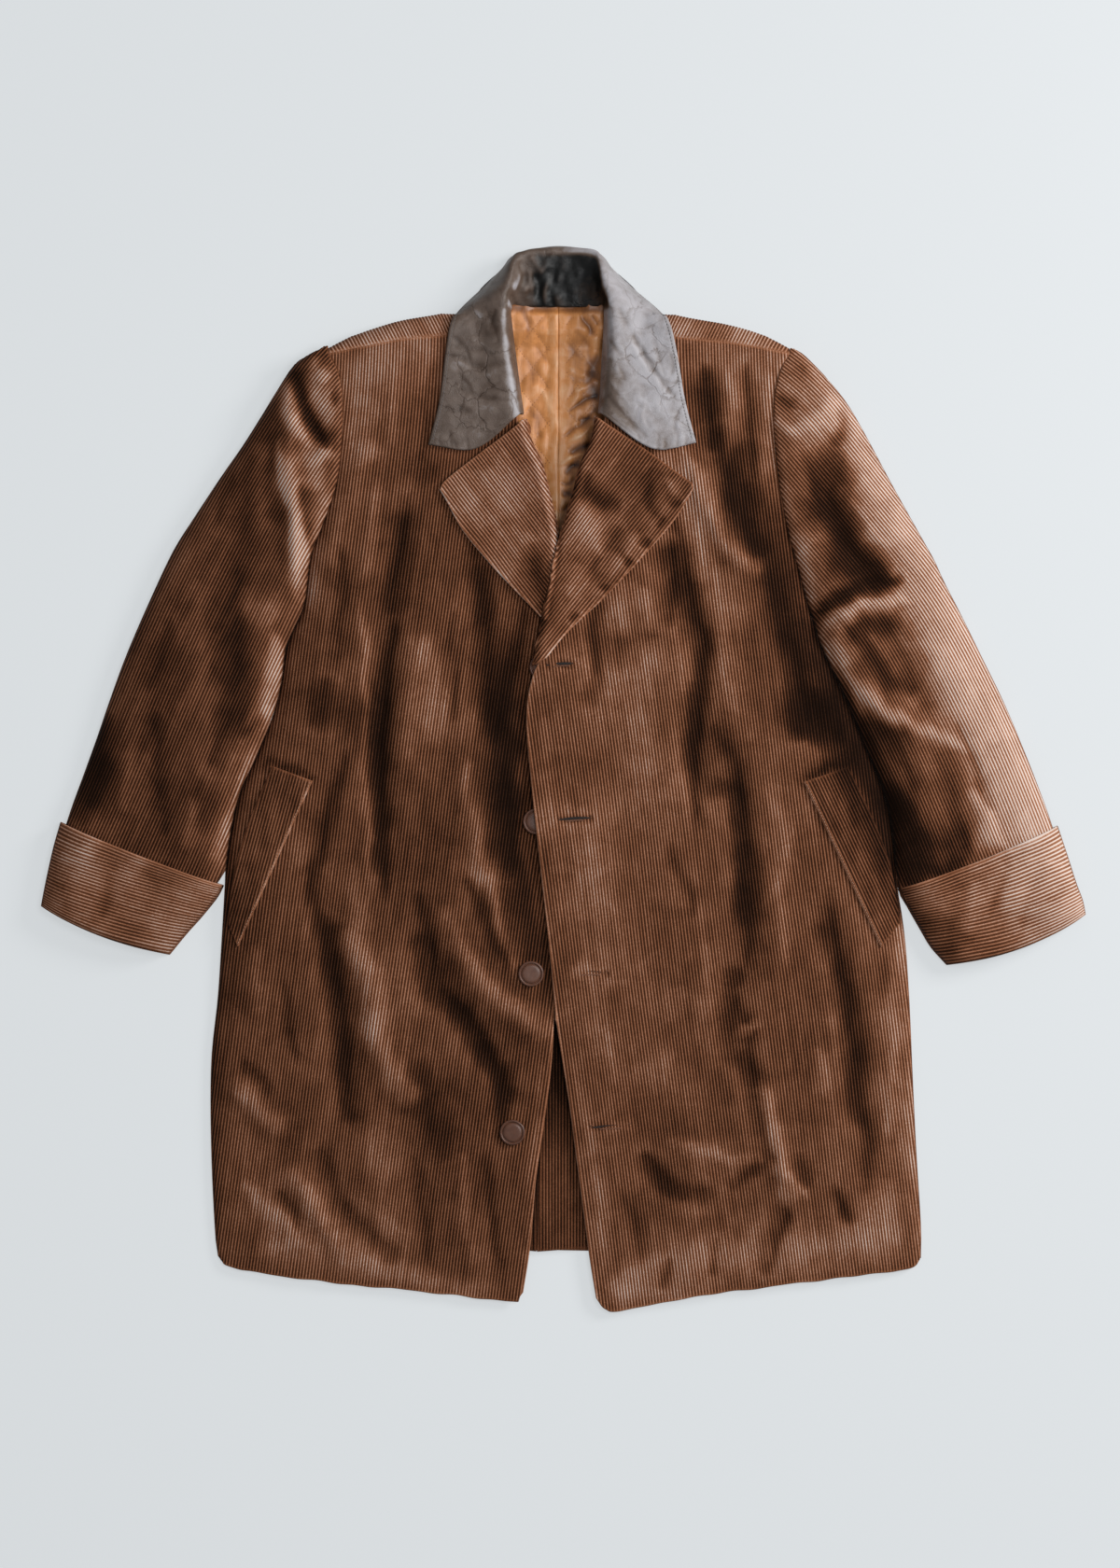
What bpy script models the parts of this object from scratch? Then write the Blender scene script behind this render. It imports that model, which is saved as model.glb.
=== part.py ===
"""A three-quarter length corduroy coat with a leather collar, laid flat on its back.

Every size below is in millimetres and becomes metres where a mesh is made. +Z is up from the surface that the
coat lies on, +Y runs from the hem to the collar, and +X is the wearer's left. Each cloth piece is a wall: a grid
of points on its outer face, and the same grid moved in by the wall's thickness.
"""

import bmesh
import bpy
import numpy as np
from mathutils import Vector
from mathutils.bvhtree import BVHTree

MM = 0.001
WALL = 3.0  # corduroy with its interlining
TRIM_WALL = 2.5  # welts, cuffs, collar and the sleeves' under sides
SEAM = 0.3  # between pieces that meet
LAYER = 0.9  # between pieces that lie on each other
SEAT = WALL + SEAM  # where a front's side edge lands on the back
FLAT_ANGLE = 0.002  # faces that bend less than this, in radians, are joined

CENTRE_X = -5.0  # the centre back seam
ROUND_WIDTH = 75.0  # how far in from a side edge the coat reaches its full height
ROUND_POWER = 2.4
FOLD_FADE = 30.0  # folds fade out over this distance from a side edge
NECK_DROP = 0.5  # share of its height that the shoulder loses next to the neck
NECK_WIDTH = 70.0

# Height of the fronts above the surface, up the middle of each. Columns: y, height.
CROWN = ((-575, 10), (-450, 12), (-300, 15), (-150, 18), (0, 21), (150, 25), (300, 30), (400, 34), (470, 37))
# Height of the fronts at their side edge, which leaves the back at the armhole. Columns: y, height.
SIDE_HEIGHT = ((-575, SEAT), (150, SEAT), (185, 6), (235, 15), (300, 24), (380, 31), (470, 34))
PIT_Y = 150.0  # below this the side edge lies on the back

# Side seam from the hem up, then the armhole to the shoulder tip. Columns: x, y.
SIDE = {
    "right": (
        (-367, -518), (-372, -500), (-377, -400), (-377, -306), (-370, -237), (-366, -177), (-362.5, -117),
        (-360, -77), (-348, -20), (-330, 20), (-311, 67), (-302, 103), (-296, 142), (-277, 186), (-270, 236),
        (-258, 268), (-243, 312), (-237, 358), (-236, 405), (-241, 434), (-251, 452),
    ),
    "left": (
        (384, -517), (384, -480), (379, -400), (375, -317), (372, -247), (368, -185), (364, -150), (359, -119),
        (357, -92), (355, -67), (345, -17), (325, 33), (300, 93), (277, 143), (262, 190), (251, 230),
        (242, 262), (231, 320), (226, 373), (227, 410), (234, 437), (243, 452),
    ),
}
# Front edge from the hem up, then the line where the lapel and the collar roll over. Columns: x, y.
EDGE = {
    "right": (
        (-43, -552), (-35, -500), (-29, -430), (-20, -368), (-12, -300), (-8, -217), (-2, -67), (-2, 50),
        (-11, 130), (-19, 180), (-17, 262), (-27, 310), (-37, 345), (-48, 380), (-53, 415), (-61, 463),
        (-64, 495),
    ),
    "left": (
        (36, -558), (28, -508), (15, -410), (7, -349), (-1, -298), (-7, -256), (-17, -156), (-27, -67),
        (-34, 0), (-38, 44), (-38, 78), (-32, 108), (-22, 132), (-7, 178), (7, 233), (18, 278), (30, 328),
        (43, 372), (50, 413), (55, 463), (57, 495),
    ),
}
# Hem of each front from the side seam to the front edge. Columns: x, y.
HEM = {
    "right": ((-367, -518), (-359, -524), (-315, -533), (-189, -547), (-60, -561), (-50, -560), (-43, -552)),
    "left": ((384, -517), (374, -526), (339, -531), (258, -541), (164, -553), (66, -571), (46, -570), (36, -558)),
}
# Shoulder seam from the tip to the neck. Columns: x, y.
SHOULDER = {
    "right": ((-251, 452), (-220, 458), (-174, 467), (-125, 472), (-86, 483), (-64, 495)),
    "left": ((243, 452), (185, 463), (120, 470), (80, 483), (57, 495)),
}
BACK_HEM = {"right": ((-367, -515), (-200, -511), (-5, -507)), "left": ((384, -514), (200, -511), (-5, -507))}
# Back of the neck on one half. Columns: distance from the centre, drop below the shoulder seam's neck end.
BACK_NECK = ((46, 4), (25, 5), (SEAM / 2, 5))
# How the back rolls over the shoulder pad. Columns: distance from the centre, reach past the seam.
ROLL_REACH = ((0, 5), (25, 5), (46, 5.5), (60, 11), (83, 16), (125, 25), (174, 21), (220, 17), (256, 12))
# Height of the roll at the neck, where it meets no front. Columns: distance from the centre, height.
ROLL_HEIGHT = ((0, 8.5), (25, 9), (50, 9.5))
ROLL_ROWS = 8

# The largest folds of each front. Columns: route as (x, y) points, width, height (a trough is negative).
FOLDS = {
    "right": (
        (((-176, 270), (-194, 139), (-201, 31), (-198, -42)), 17, -4.0),
        (((-212, 347), (-252, 234)), 13, 3.0),
        (((-92, 212), (-89, 85), (-59, 31)), 15, -3.5),
        (((-158, 139), (-172, 31)), 17, 3.0),
        (((-229, -180), (-205, -221), (-199, -282), (-167, -338)), 14, 4.5),
        (((-253, -167), (-237, -301), (-229, -360)), 15, -3.5),
        (((-154, -180), (-146, -229), (-114, -253), (-60, -338)), 14, -4.0),
        (((-111, -183), (-82, -226), (-40, -258)), 15, 3.5),
        (((-350, -330), (-309, -371)), 13, 3.0),
        (((-288, -429), (-253, -483), (-237, -515)), 13, 3.5),
        (((-258, -408), (-242, -456), (-189, -510)), 13, -3.5),
    ),
    "left": (
        (((109, 235), (146, 133), (139, 69), (146, -2), (186, -26), (200, -144)), 16, -4.0),
        (((142, 319), (186, 238), (200, 224)), 15, 3.0),
        (((186, 346), (213, 245), (247, 110), (280, 42)), 15, -3.5),
        (((38, 180), (41, 126), (27, 86)), 13, -3.0),
        (((280, -167), (306, -242), (317, -301), (314, -360)), 15, -3.0),
        (((181, -215), (175, -287), (197, -317), (223, -405)), 13, -4.0),
        (((210, -338), (229, -395), (245, -443)), 12, 4.0),
        (((89, -416), (116, -438), (148, -448)), 12, -3.0),
        (((234, -467), (207, -515)), 12, -3.0),
    ),
}
SLEEVE_FOLDS = {
    "right": (
        (((-280, 428), (-262, 372)), 13, -4.0),
        (((-294, 332), (-283, 288), (-284, 215)), 11, 3.5),
        (((-312, 358), (-309, 285)), 13, -3.0),
        (((-363, 66), (-375, 20)), 14, -2.5),
    ),
    "left": (
        (((285, 152), (310, 173), (342, 183)), 12, 4.0),
        (((297, 376), (276, 314), (326, 205)), 15, -4.0),
        (((344, 158), (388, 78)), 13, -3.0),
        (((340, 49), (373, -6)), 13, -3.0),
    ),
}

# Sections of each sleeve from the shoulder to inside the cuff. Columns: y and x of the inner edge (x None where
# it follows the front's side edge), x and y of the outer edge, height, height of the inner edge, height it stands
# on. The inner edge is on the front down to the pit and on the surface below it.
SLEEVE = {
    "right": (
        (458, -253, -262, 459, 24, 20, 0),
        (452, None, -274, 454, 35, 34, 0),
        (428, None, -289, 442, 37, 35, 0),
        (393, None, -306, 416, 38, 34, 0),
        (353, None, -325, 385, 37, 31, 0),
        (312, None, -344, 355, 35, 26, 0),
        (270, None, -367, 322, 33, 20, 0),
        (225, None, -396, 278, 31, 12, 0),
        (186, None, -418, 243, 30, 5, 0),
        (139, None, -443, 190, 29, 0, 0),
        (67, None, -468, 132, 28, 0, 0),
        (20, None, -486, 83, 28, 0, 0),
        (-20, None, -500, 42, 27, 0, 0),
        (-60, None, -514, 3, 26, 0, 1),
        (-97, None, -527, -33, 26, 0, 3),
        (-125, -379, -536, -62, 25, 0, 3),
        (-150, -397, -543, -90, 24, 0, 3),
        (-170, -414, -548, -113, 23, 0, 3),
    ),
    "left": (
        (458, 245, 256, 458, 24, 20, 0),
        (452, None, 263, 452, 35, 34, 0),
        (430, None, 283, 430, 37, 35, 0),
        (393, None, 306, 402, 38, 34, 0),
        (353, None, 326, 365, 37, 31, 0),
        (308, None, 350, 320, 35, 26, 0),
        (259, None, 371, 282, 33, 20, 0),
        (213, None, 389, 250, 31, 12, 0),
        (190, None, 398, 234, 30, 6, 0),
        (147, None, 410, 208, 29, 0, 0),
        (118, None, 427, 175, 29, 0, 0),
        (78, None, 449, 130, 28, 0, 0),
        (34, None, 472, 83, 28, 0, 0),
        (-13, None, 491, 38, 27, 0, 0),
        (-52, None, 505, 3, 26, 0, 1),
        (-92, None, 519, -35, 26, 0, 3),
        (-125, 374, 529, -65, 25, 0, 3),
        (-152, 389, 539, -95, 24, 0, 3),
        (-180, 404, 548, -122, 23, 0, 3),
    ),
}
SLEEVE_ROUND = 48.0  # how far in from its edge a sleeve or cuff reaches its full height

# Sections of each turned-up cuff, top edge to fold. Columns: inner edge x and y, outer edge x and y, and how far
# the middle bows towards the hand.
CUFF = {
    "right": ((-364, -116, -539, -48, 2), (-371, -129, -546, -72, 2), (-387, -149, -552, -98, 3),
              (-404, -168, -557, -122, 5), (-422, -190, -560, -138, 7)),
    "left": ((361, -120, 531, -52, 3), (371, -141, 542, -85, 4), (383, -162, 551, -113, 6),
             (395, -182, 558, -132, 8), (412, -201, 561, -147, 10)),
}
CUFF_HEIGHT = 33.0
CUFF_TAPER = 0.86  # height at the fold as a share of the height at the top edge
CUFF_ROWS = 6

# Lapels. Columns: x, y; outer edge and roll line both run from the bottom to the top.
LAPEL = {
    "right": {
        "outer": ((-24, 172), (-59, 208), (-81, 232), (-107, 264), (-124, 295), (-131, 307)),
        "top": ((-131, 307), (-125, 317), (-91, 344), (-64, 364), (-38, 384)),
        "roll": ((-14, 168), (-9, 200), (-4, 232), (-4, 262), (-13, 305), (-22, 338), (-33, 362), (-38, 384)),
    },
    "left": {
        "outer": ((-17, 128), (6, 156), (45, 193), (91, 242), (119, 275), (136, 303), (138, 310)),
        "top": ((138, 310), (134, 316), (93, 346), (63, 366), (34, 385)),
        "roll": ((-33, 119), (-27, 150), (-20, 186), (-13, 214), (-3, 260), (10, 305), (18, 335), (29, 360),
                 (34, 385)),
    },
}
LAPEL_WALL = 2.6
ROLL_RADIUS = 10.0
ROLL_POWER = 2.2
ROLL_LOW = 13.0  # where the rolled edge of a lapel ends, above the lining
ROLL_RISE, ROLL_RISE_WIDTH = 5.0, 32.0  # how the lapel lifts off its front beside the roll

# Collar sections, each across the collar from the neck to its free edge, run from the wearer's right leaf round
# the back neck to the left leaf. Columns: neck, ridge, fall, edge as (x, y, z); z is None where it rests on the coat.
COLLAR = (
    ((-41, 389, 17), (-49, 385, 40), (-93, 351, None), (-143, 355, None)),
    ((-44, 410, 17), (-53, 406, 41), (-91, 392, None), (-131, 403, None)),
    ((-49, 448, 17), (-59, 448, 43), (-92, 447, None), (-125, 450, None)),
    ((-53, 480, 18), (-63, 482, 45), (-92, 485, None), (-119, 484, None)),
    ((-55, 503, 17), (-61, 512, 44), (-88, 507, 38), (-112, 499, 24)),
    ((-48, 504, 15), (-56, 530, 42), (-74, 528, 27), (-91, 522, 0)),
    ((-39, 504, 14), (-51, 549, 34), (-62, 547, 20), (-68, 544, 0)),
    ((-27, 504, 13), (-41, 558, 26), (-48, 561, 15), (-50, 562, 0)),
    ((-5, 504, 13), (-5, 561, 21), (-5, 568, 13), (-5, 571, 0)),
    ((19, 504, 13), (30, 559, 26), (36, 562, 15), (38, 563, 0)),
    ((30, 504, 14), (38, 549, 34), (48, 548, 20), (55, 545, 0)),
    ((37, 504, 15), (43, 530, 42), (62, 528, 27), (80, 522, 0)),
    ((43, 503, 17), (49, 512, 44), (76, 507, 38), (105, 498, 24)),
    ((43, 480, 18), (53, 482, 45), (85, 484, None), (114, 483, None)),
    ((41, 448, 17), (51, 448, 43), (86, 446, None), (122, 449, None)),
    ((39, 410, 17), (48, 406, 41), (86, 392, None), (130, 403, None)),
    ((37, 390, 17), (45, 385, 40), (95, 351, None), (142, 357, None)),
)
COLLAR_CLEAR = 1.2  # how much higher than a lapel the leather lies on what it rests on
COLLAR_SPREAD = 7.0
COLLAR_FLOOR = 4.0  # below this height the collar's edge stands on the surface

# Welts: corners as x, y, from the pocket's lower outer corner round to its lower inner one.
WELT = {
    "right": ((-351, -155), (-311, 10), (-270, -5), (-347, -178)),
    "left": ((340, -172), (263, -7), (303, 8), (351, -140)),
}
WELT_CLEAR, WELT_RISE = 0.5, 0.8
# Back lining in the open neck. Columns: y, outer x on the right half, outer x on the left half.
LINING = ((190, -40, 28), (300, -46, 36), (400, -52, 40), (470, -50, 39), (502, -46, 34))
LINING_WALL = 2.5
LINING_TOP = 501.0
LINING_RAISE = 7.4  # how far it rises to the back neck
QUILT_WIDTH, QUILT_LENGTH, QUILT_RISE = 32.0, 40.0, 4.0
QUILT_POWER = 0.6  # below 1, the diamonds are fuller
PLEAT_RISE = 2.6
PLEAT_FROM, PLEAT_TO = 2.0, 16.0  # half width of the pleat, and where the quilting starts beside it
# Vent facings on the back. Columns: corners as x, y.
VENT_FACING = {
    "right": ((-62, -500), (-28.7, -503), (-22.5, -300), (-52, -300)),
    "left": ((-27.5, -506), (62, -500), (52, -262), (-19.5, -262)),
}
FACING_WALL = 2.0

# Buttons. Columns: x, y; the last two lie under the other front, partly and wholly.
BUTTONS = ((-54, -380), (-34, -210), (-29, -47), (-22, 118))
BUTTON_RADIUS, BUTTON_THICKNESS = 13.7, 4.2
# Side of a button, from the middle of its back to its rim and its raised middle. Columns: radius, height.
BUTTON_PROFILE = ((11.0, 0), (13.0, 1.0), (BUTTON_RADIUS, 2.4), (12.8, 3.9), (11.6, 4.1), (10.6, 3.0), (9.8, 3.9))
BUTTON_SIDES = 20
BUTTON_CLEAR = 0.4
HIDDEN_LIFT = 7.5  # how far the upper front rises over a button under it
HIDDEN_REACH = 40.0

# Where the fronts overlap: the lower one dips, and the upper one lifts.
DIP, DIP_BEFORE, DIP_PAST = 3.6, 22.0, 4.0
DIP_LOW, DIP_HIGH = (-300, -235), (420, 470)
LIFT, LIFT_NEAR, LIFT_FAR = 1.6, 50.0, 110.0
LIFT_LOW = (-330, -250)

# Rows of a front's grid, as shares of its side edge: wide below the shoulder, then close round the armhole.
WIDE_ROWS = np.linspace(0, 0.62, 23)
CLOSE_ROWS = np.linspace(0.645, 1, 15)
FRONT_ROWS = np.concatenate([WIDE_ROWS, CLOSE_ROWS])
# The back is flat, so it takes every third row until its edge runs beside a sleeve.
SLEEVE_FROM_ROW = 14
BACK_ROWS = np.concatenate([FRONT_ROWS[:SLEEVE_FROM_ROW:3], FRONT_ROWS[SLEEVE_FROM_ROW:]])
FRONT_SHARES = np.array([0, 0.004, 0.02, 0.055, 0.11, 0.19, 0.28, 0.38, 0.48, 0.58, 0.68, 0.78, 0.87, 0.95, 1])
LAPEL_SHARES = np.array([0, 0.2, 0.42, 0.64, 0.82, 0.92, 0.975, 1])
LAPEL_ROWS = np.linspace(0, 1, 15)
COLLAR_SHARES = np.array([0, 0.06, 0.14, 0.24, 0.4, 0.56, 0.72, 0.86, 0.95, 1])
SLEEVE_SHARES = np.array([0, 0.015, 0.06, 0.14, 0.26, 0.42, 0.58, 0.74, 0.86, 0.94, 0.985, 1])
CUFF_SHARES = np.array([0, 0.02, 0.07, 0.16, 0.3, 0.5, 0.7, 0.84, 0.93, 0.98, 1])

COLOURS = {  # base colour, roughness
    "corduroy": ((0.17, 0.062, 0.027, 1), 0.9),
    "leather": ((0.085, 0.065, 0.058, 1), 0.42),
    "lining": ((0.52, 0.19, 0.06, 1), 0.35),
    "button": ((0.10, 0.035, 0.018, 1), 0.3),
}


def clear_scene():
    for obj in list(bpy.data.objects):
        bpy.data.objects.remove(obj, do_unlink=True)


def material(slot):
    mat = bpy.data.materials.get(slot) or bpy.data.materials.new(slot)
    mat.use_nodes = True
    shader = mat.node_tree.nodes["Principled BSDF"]
    colour, roughness = COLOURS[slot]
    shader.inputs["Base Color"].default_value = colour
    shader.inputs["Roughness"].default_value = roughness
    return mat


def smooth(x, low, high):
    """0 below low, 1 above high, and an even ease between them."""
    s = np.clip((x - low) / (high - low), 0, 1)
    return s * s * (3 - 2 * s)


def rounded(distance, width, power=ROUND_POWER):
    """0 at an edge and 1 from width inwards, as a round shoulder."""
    s = np.clip(distance / width, 0, 1)
    return (1 - (1 - s) ** power) ** (1 / power)


def curve(points, per_span=8):
    """A Catmull-Rom curve through the points, as many dense points."""
    p = np.asarray(points, float)
    p = np.vstack([2 * p[0] - p[1], p, 2 * p[-1] - p[-2]])
    t = np.linspace(0, 1, per_span, endpoint=False)[:, None]
    spans = [
        0.5 * (2 * b + (c - a) * t + (2 * a - 5 * b + 4 * c - d) * t**2 + (3 * b - a - 3 * c + d) * t**3)
        for a, b, c, d in zip(p, p[1:], p[2:], p[3:])
    ]
    return np.vstack(spans + [p[-2:-1]])


def at_shares(points, shares):
    """Points on a curve at these shares of its length."""
    dense = curve(points)
    length = np.concatenate([[0], np.cumsum(np.linalg.norm(np.diff(dense, axis=0), axis=1))])
    where = np.asarray(shares) * length[-1]
    return np.stack([np.interp(where, length, dense[:, k]) for k in range(dense.shape[1])], axis=1)


def read(table, at, column=1):
    """Reads a table's column, straight from row to row, at values of its first column."""
    return np.interp(at, [row[0] for row in table], [row[column] for row in table])


def x_at(outline, y):
    """x of a rising outline of (x, y) points at y."""
    dense = curve(outline)
    return np.interp(y, dense[:, 1], dense[:, 0])


def patch(bottom, top, left, right, u, v):
    """A Coons patch at shares u across and v up: bottom and top run across, left and right run up."""
    v = v[:, None, None]
    u = u[None, :, None]
    ruled = (1 - v) * bottom[None] + v * top[None] + (1 - u) * left[:, None] + u * right[:, None]
    corners = (1 - v) * ((1 - u) * bottom[0] + u * bottom[-1]) + v * ((1 - u) * top[0] + u * top[-1])
    return ruled - corners


def four_sided(corners, columns, rows):
    """A flat grid inside four corners, which run from its first corner up, across and down."""
    a, b, c, d = (np.asarray(p, float) for p in corners)
    u, v = np.linspace(0, 1, columns)[:, None], np.linspace(0, 1, rows)[:, None]
    return patch(a + (d - a) * u, b + (c - b) * u, a + (b - a) * v, d + (c - d) * v, u[:, 0], v[:, 0])


def fold_height(folds, xy):
    """The sum of the folds at each point: each is a soft ridge or trough along its route."""
    total = np.zeros(xy.shape[:-1])
    for route, width, height in folds:
        nearest = np.full(total.shape, np.inf)
        line = curve(route, 5)
        for a, b in zip(line, line[1:]):
            along = np.clip(((xy - a) @ (b - a)) / ((b - a) @ (b - a)), 0, 1)
            nearest = np.minimum(nearest, np.linalg.norm(xy - a - along[..., None] * (b - a), axis=-1))
        total += height * np.exp(-((nearest / width) ** 2))
    return total


def from_sides(xy):
    """How far each point is inside the nearer side edge of the coat."""
    x, y = xy[..., 0], xy[..., 1]
    return np.maximum(np.minimum(x - x_at(SIDE["right"], y), x_at(SIDE["left"], y) - x), 0)


def body_height(xy):
    """The height of the fronts over the surface, without their folds."""
    x, y = xy[..., 0], xy[..., 1]
    low = read(SIDE_HEIGHT, y)
    dense = curve(CROWN)
    crown = np.interp(y, dense[:, 0], dense[:, 1])
    neck = 1 - NECK_DROP * np.exp(-(((x - CENTRE_X) / NECK_WIDTH) ** 2)) * smooth(y, 390, 480)
    return (low + (crown - low) * rounded(from_sides(xy), ROUND_WIDTH)) * neck


def front_height(side, xy):
    """The height of a front with its folds and with what the overlap does to it."""
    x, y = xy[..., 0], xy[..., 1]
    upper_edge = x_at(EDGE["left"], y)
    height = body_height(xy) + fold_height(FOLDS[side], xy) * rounded(from_sides(xy), FOLD_FADE)
    if side == "right":
        under = smooth(x, upper_edge - DIP_BEFORE, upper_edge + DIP_PAST)
        return height - DIP * under * smooth(y, *DIP_LOW) * (1 - smooth(y, *DIP_HIGH))
    lift = LIFT * (1 - smooth(x, upper_edge + LIFT_NEAR, upper_edge + LIFT_FAR)) * smooth(y, *LIFT_LOW)
    for button_x, button_y in BUTTONS[2:]:
        lift = lift + HIDDEN_LIFT * np.exp(-((x - button_x) ** 2 + (y - button_y) ** 2) / HIDDEN_REACH**2)
    return height + lift


def normals(grid):
    """Unit normals of a grid of points, with a positive z in the middle of the grid."""
    along, across = np.gradient(grid, axis=0), np.gradient(grid, axis=1)
    n = np.cross(across, along)
    n /= np.maximum(np.linalg.norm(n, axis=-1, keepdims=True), 1e-9)
    return n if n[len(n) // 2, n.shape[1] // 2, 2] > 0 else -n


def turn_edge(n, grid, edge, kind, where=slice(None)):
    """Turns the normals along one edge "up", "level" (outwards and flat) or so that they have "no_x"."""
    row = {"bottom": np.s_[0], "top": np.s_[-1], "left": np.s_[:, 0], "right": np.s_[:, -1]}[edge]
    next_row = {"bottom": np.s_[1], "top": np.s_[-2], "left": np.s_[:, 1], "right": np.s_[:, -2]}[edge]
    turned = n[row].copy()
    if kind == "up":
        turned[:] = (0, 0, 1)
    elif kind == "no_x":
        turned *= (0, 1, 1)
    else:
        flat = np.cross(np.gradient(grid[row], axis=0) * (1, 1, 0), (0, 0, 1))
        inwards = ((grid[row] - grid[next_row]) * flat).sum(-1, keepdims=True) < 0
        turned = np.where(inwards, -flat, flat)
    turned /= np.maximum(np.linalg.norm(turned, axis=-1, keepdims=True), 1e-9)
    n[row][where] = turned[where]


def wall(name, slot, outer, thickness, edges, floor=None, below=False):
    """A closed wall under (or, with below, over) a grid of outer points.

    edges lists an edge, the kind of its normals and, if not all of it, where. floor is the inner face's lowest
    height.
    """
    n = -normals(outer) if below else normals(outer)
    for edge in edges:
        turn_edge(n, outer, *edge)
    inner = outer - thickness * n
    if floor is not None:
        inner[..., 2] = np.maximum(inner[..., 2], floor)
    return closed(name, slot, outer, inner)


def closed(name, slot, outer, inner):
    """A closed mesh between two grids of the same size."""
    rows, columns = outer.shape[:2]
    index = np.arange(rows * columns).reshape(rows, columns)
    quads = np.stack([index[:-1, :-1], index[:-1, 1:], index[1:, 1:], index[1:, :-1]], axis=-1).reshape(-1, 4)
    rim = np.concatenate([index[0], index[1:, -1], index[-1, -2::-1], index[-2:0:-1, 0]])
    around = np.roll(rim, -1)
    count = rows * columns
    faces = quads.tolist() + (quads[:, ::-1] + count).tolist()
    faces += np.stack([around, rim, rim + count, around + count], axis=-1).tolist()
    return new_object(name, slot, np.concatenate([outer.reshape(-1, 3), inner.reshape(-1, 3)]), faces)


def new_object(name, slot, points, faces):
    mesh = bpy.data.meshes.new(name)
    mesh.from_pydata((np.asarray(points) * MM).tolist(), [], faces)
    bm = bmesh.new()
    bm.from_mesh(mesh)
    bmesh.ops.recalc_face_normals(bm, faces=bm.faces)
    bmesh.ops.dissolve_limit(bm, angle_limit=FLAT_ANGLE, verts=bm.verts, edges=bm.edges)
    bmesh.ops.triangulate(bm, faces=bm.faces)
    bm.to_mesh(mesh)
    bm.free()
    mesh.shade_smooth()
    mesh.set_sharp_from_angle(angle=0.9)
    mesh.materials.append(material(slot))
    obj = bpy.data.objects.new(name, mesh)
    bpy.context.scene.collection.objects.link(obj)
    return obj


def support(objects, xy, spread=5.0):
    """The highest surface of the objects under each point and close around it, or 0 where there is none."""
    points, faces = [], []
    for obj in objects:
        start = len(points)
        points += [v.co / MM for v in obj.data.vertices]
        faces += [[start + i for i in p.vertices] for p in obj.data.polygons]
    tree = BVHTree.FromPolygons(points, faces)
    above = 200.0
    heights = np.zeros(xy.shape[:-1])
    for i in np.ndindex(heights.shape):
        for dx, dy in ((0, 0), (spread, 0), (-spread, 0), (0, spread), (0, -spread)):
            hit = tree.ray_cast(Vector((xy[i][0] + dx, xy[i][1] + dy, above)), Vector((0, 0, -1)))[0]
            if hit is not None:
                heights[i] = max(heights[i], hit.z)
    return heights


def stack(xy, height):
    return np.concatenate([xy, height[..., None]], axis=-1)


def front_grid(side):
    """x and y of a front's grid: rows from hem to shoulder, columns from the side seam to the front edge."""
    return patch(
        at_shares(HEM[side], FRONT_SHARES), at_shares(SHOULDER[side], FRONT_SHARES),
        at_shares(SIDE[side], FRONT_ROWS), at_shares(EDGE[side], FRONT_ROWS), FRONT_SHARES, FRONT_ROWS,
    )


def make_front(side, under):
    xy = front_grid(side)
    height = front_height(side, xy)
    resting = np.maximum(height, support(under, xy) + LAYER + WALL)
    height[:, 1:] = resting[:, 1:]
    on_back = xy[:, 0, 1] < PIT_Y
    edges = [("right", "up"), ("bottom", "up"), ("top", "up"), ("left", "up"), ("left", "level", on_back)]
    return wall(f"front_{side}", "corduroy", stack(xy, height), WALL, edges, floor=SEAT)


def make_back(side):
    """One half of the back: flat on the surface, then rolled over the shoulder to the front's seam."""
    sign = -1 if side == "right" else 1
    seam = at_shares(SHOULDER[side], FRONT_SHARES)
    neck = [(CENTRE_X + sign * away, seam[-1, 1] - drop) for away, drop in BACK_NECK]
    top = np.vstack([seam, neck])
    away = np.abs(top[:, 0] - CENTRE_X)
    meets_front = away > ROLL_HEIGHT[-1][0]
    height = np.where(meets_front, front_height(side, top), read(ROLL_HEIGHT, away))
    share = np.concatenate([[0], np.linalg.norm(np.diff(top, axis=0), axis=1).cumsum()])
    share /= share[-1]
    hem = at_shares(BACK_HEM[side], share)
    hem[-1, 0] = top[-1, 0]
    outer = at_shares(SIDE[side], BACK_ROWS)
    outer[0] = hem[0]
    centre = hem[-1] + (top[-1] - hem[-1]) * BACK_ROWS[:, None]
    xy = patch(hem, top, outer, centre, share, BACK_ROWS)
    turns = np.radians(np.linspace(-90, 90, ROLL_ROWS + 1))[1:]
    rolled = [
        np.stack(
            [top[:, 0], top[:, 1] + SEAM + read(ROLL_REACH, away) * np.cos(a), height / 2 * (1 + np.sin(a))], axis=1
        )
        for a in turns
    ]
    grid = np.concatenate([stack(xy, np.zeros(xy.shape[:2])), rolled])
    edges = [("left", "no_x"), ("right", "no_x"), ("top", "up")]
    return wall(f"back_{side}", "corduroy", grid, WALL, edges, below=True)


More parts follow.
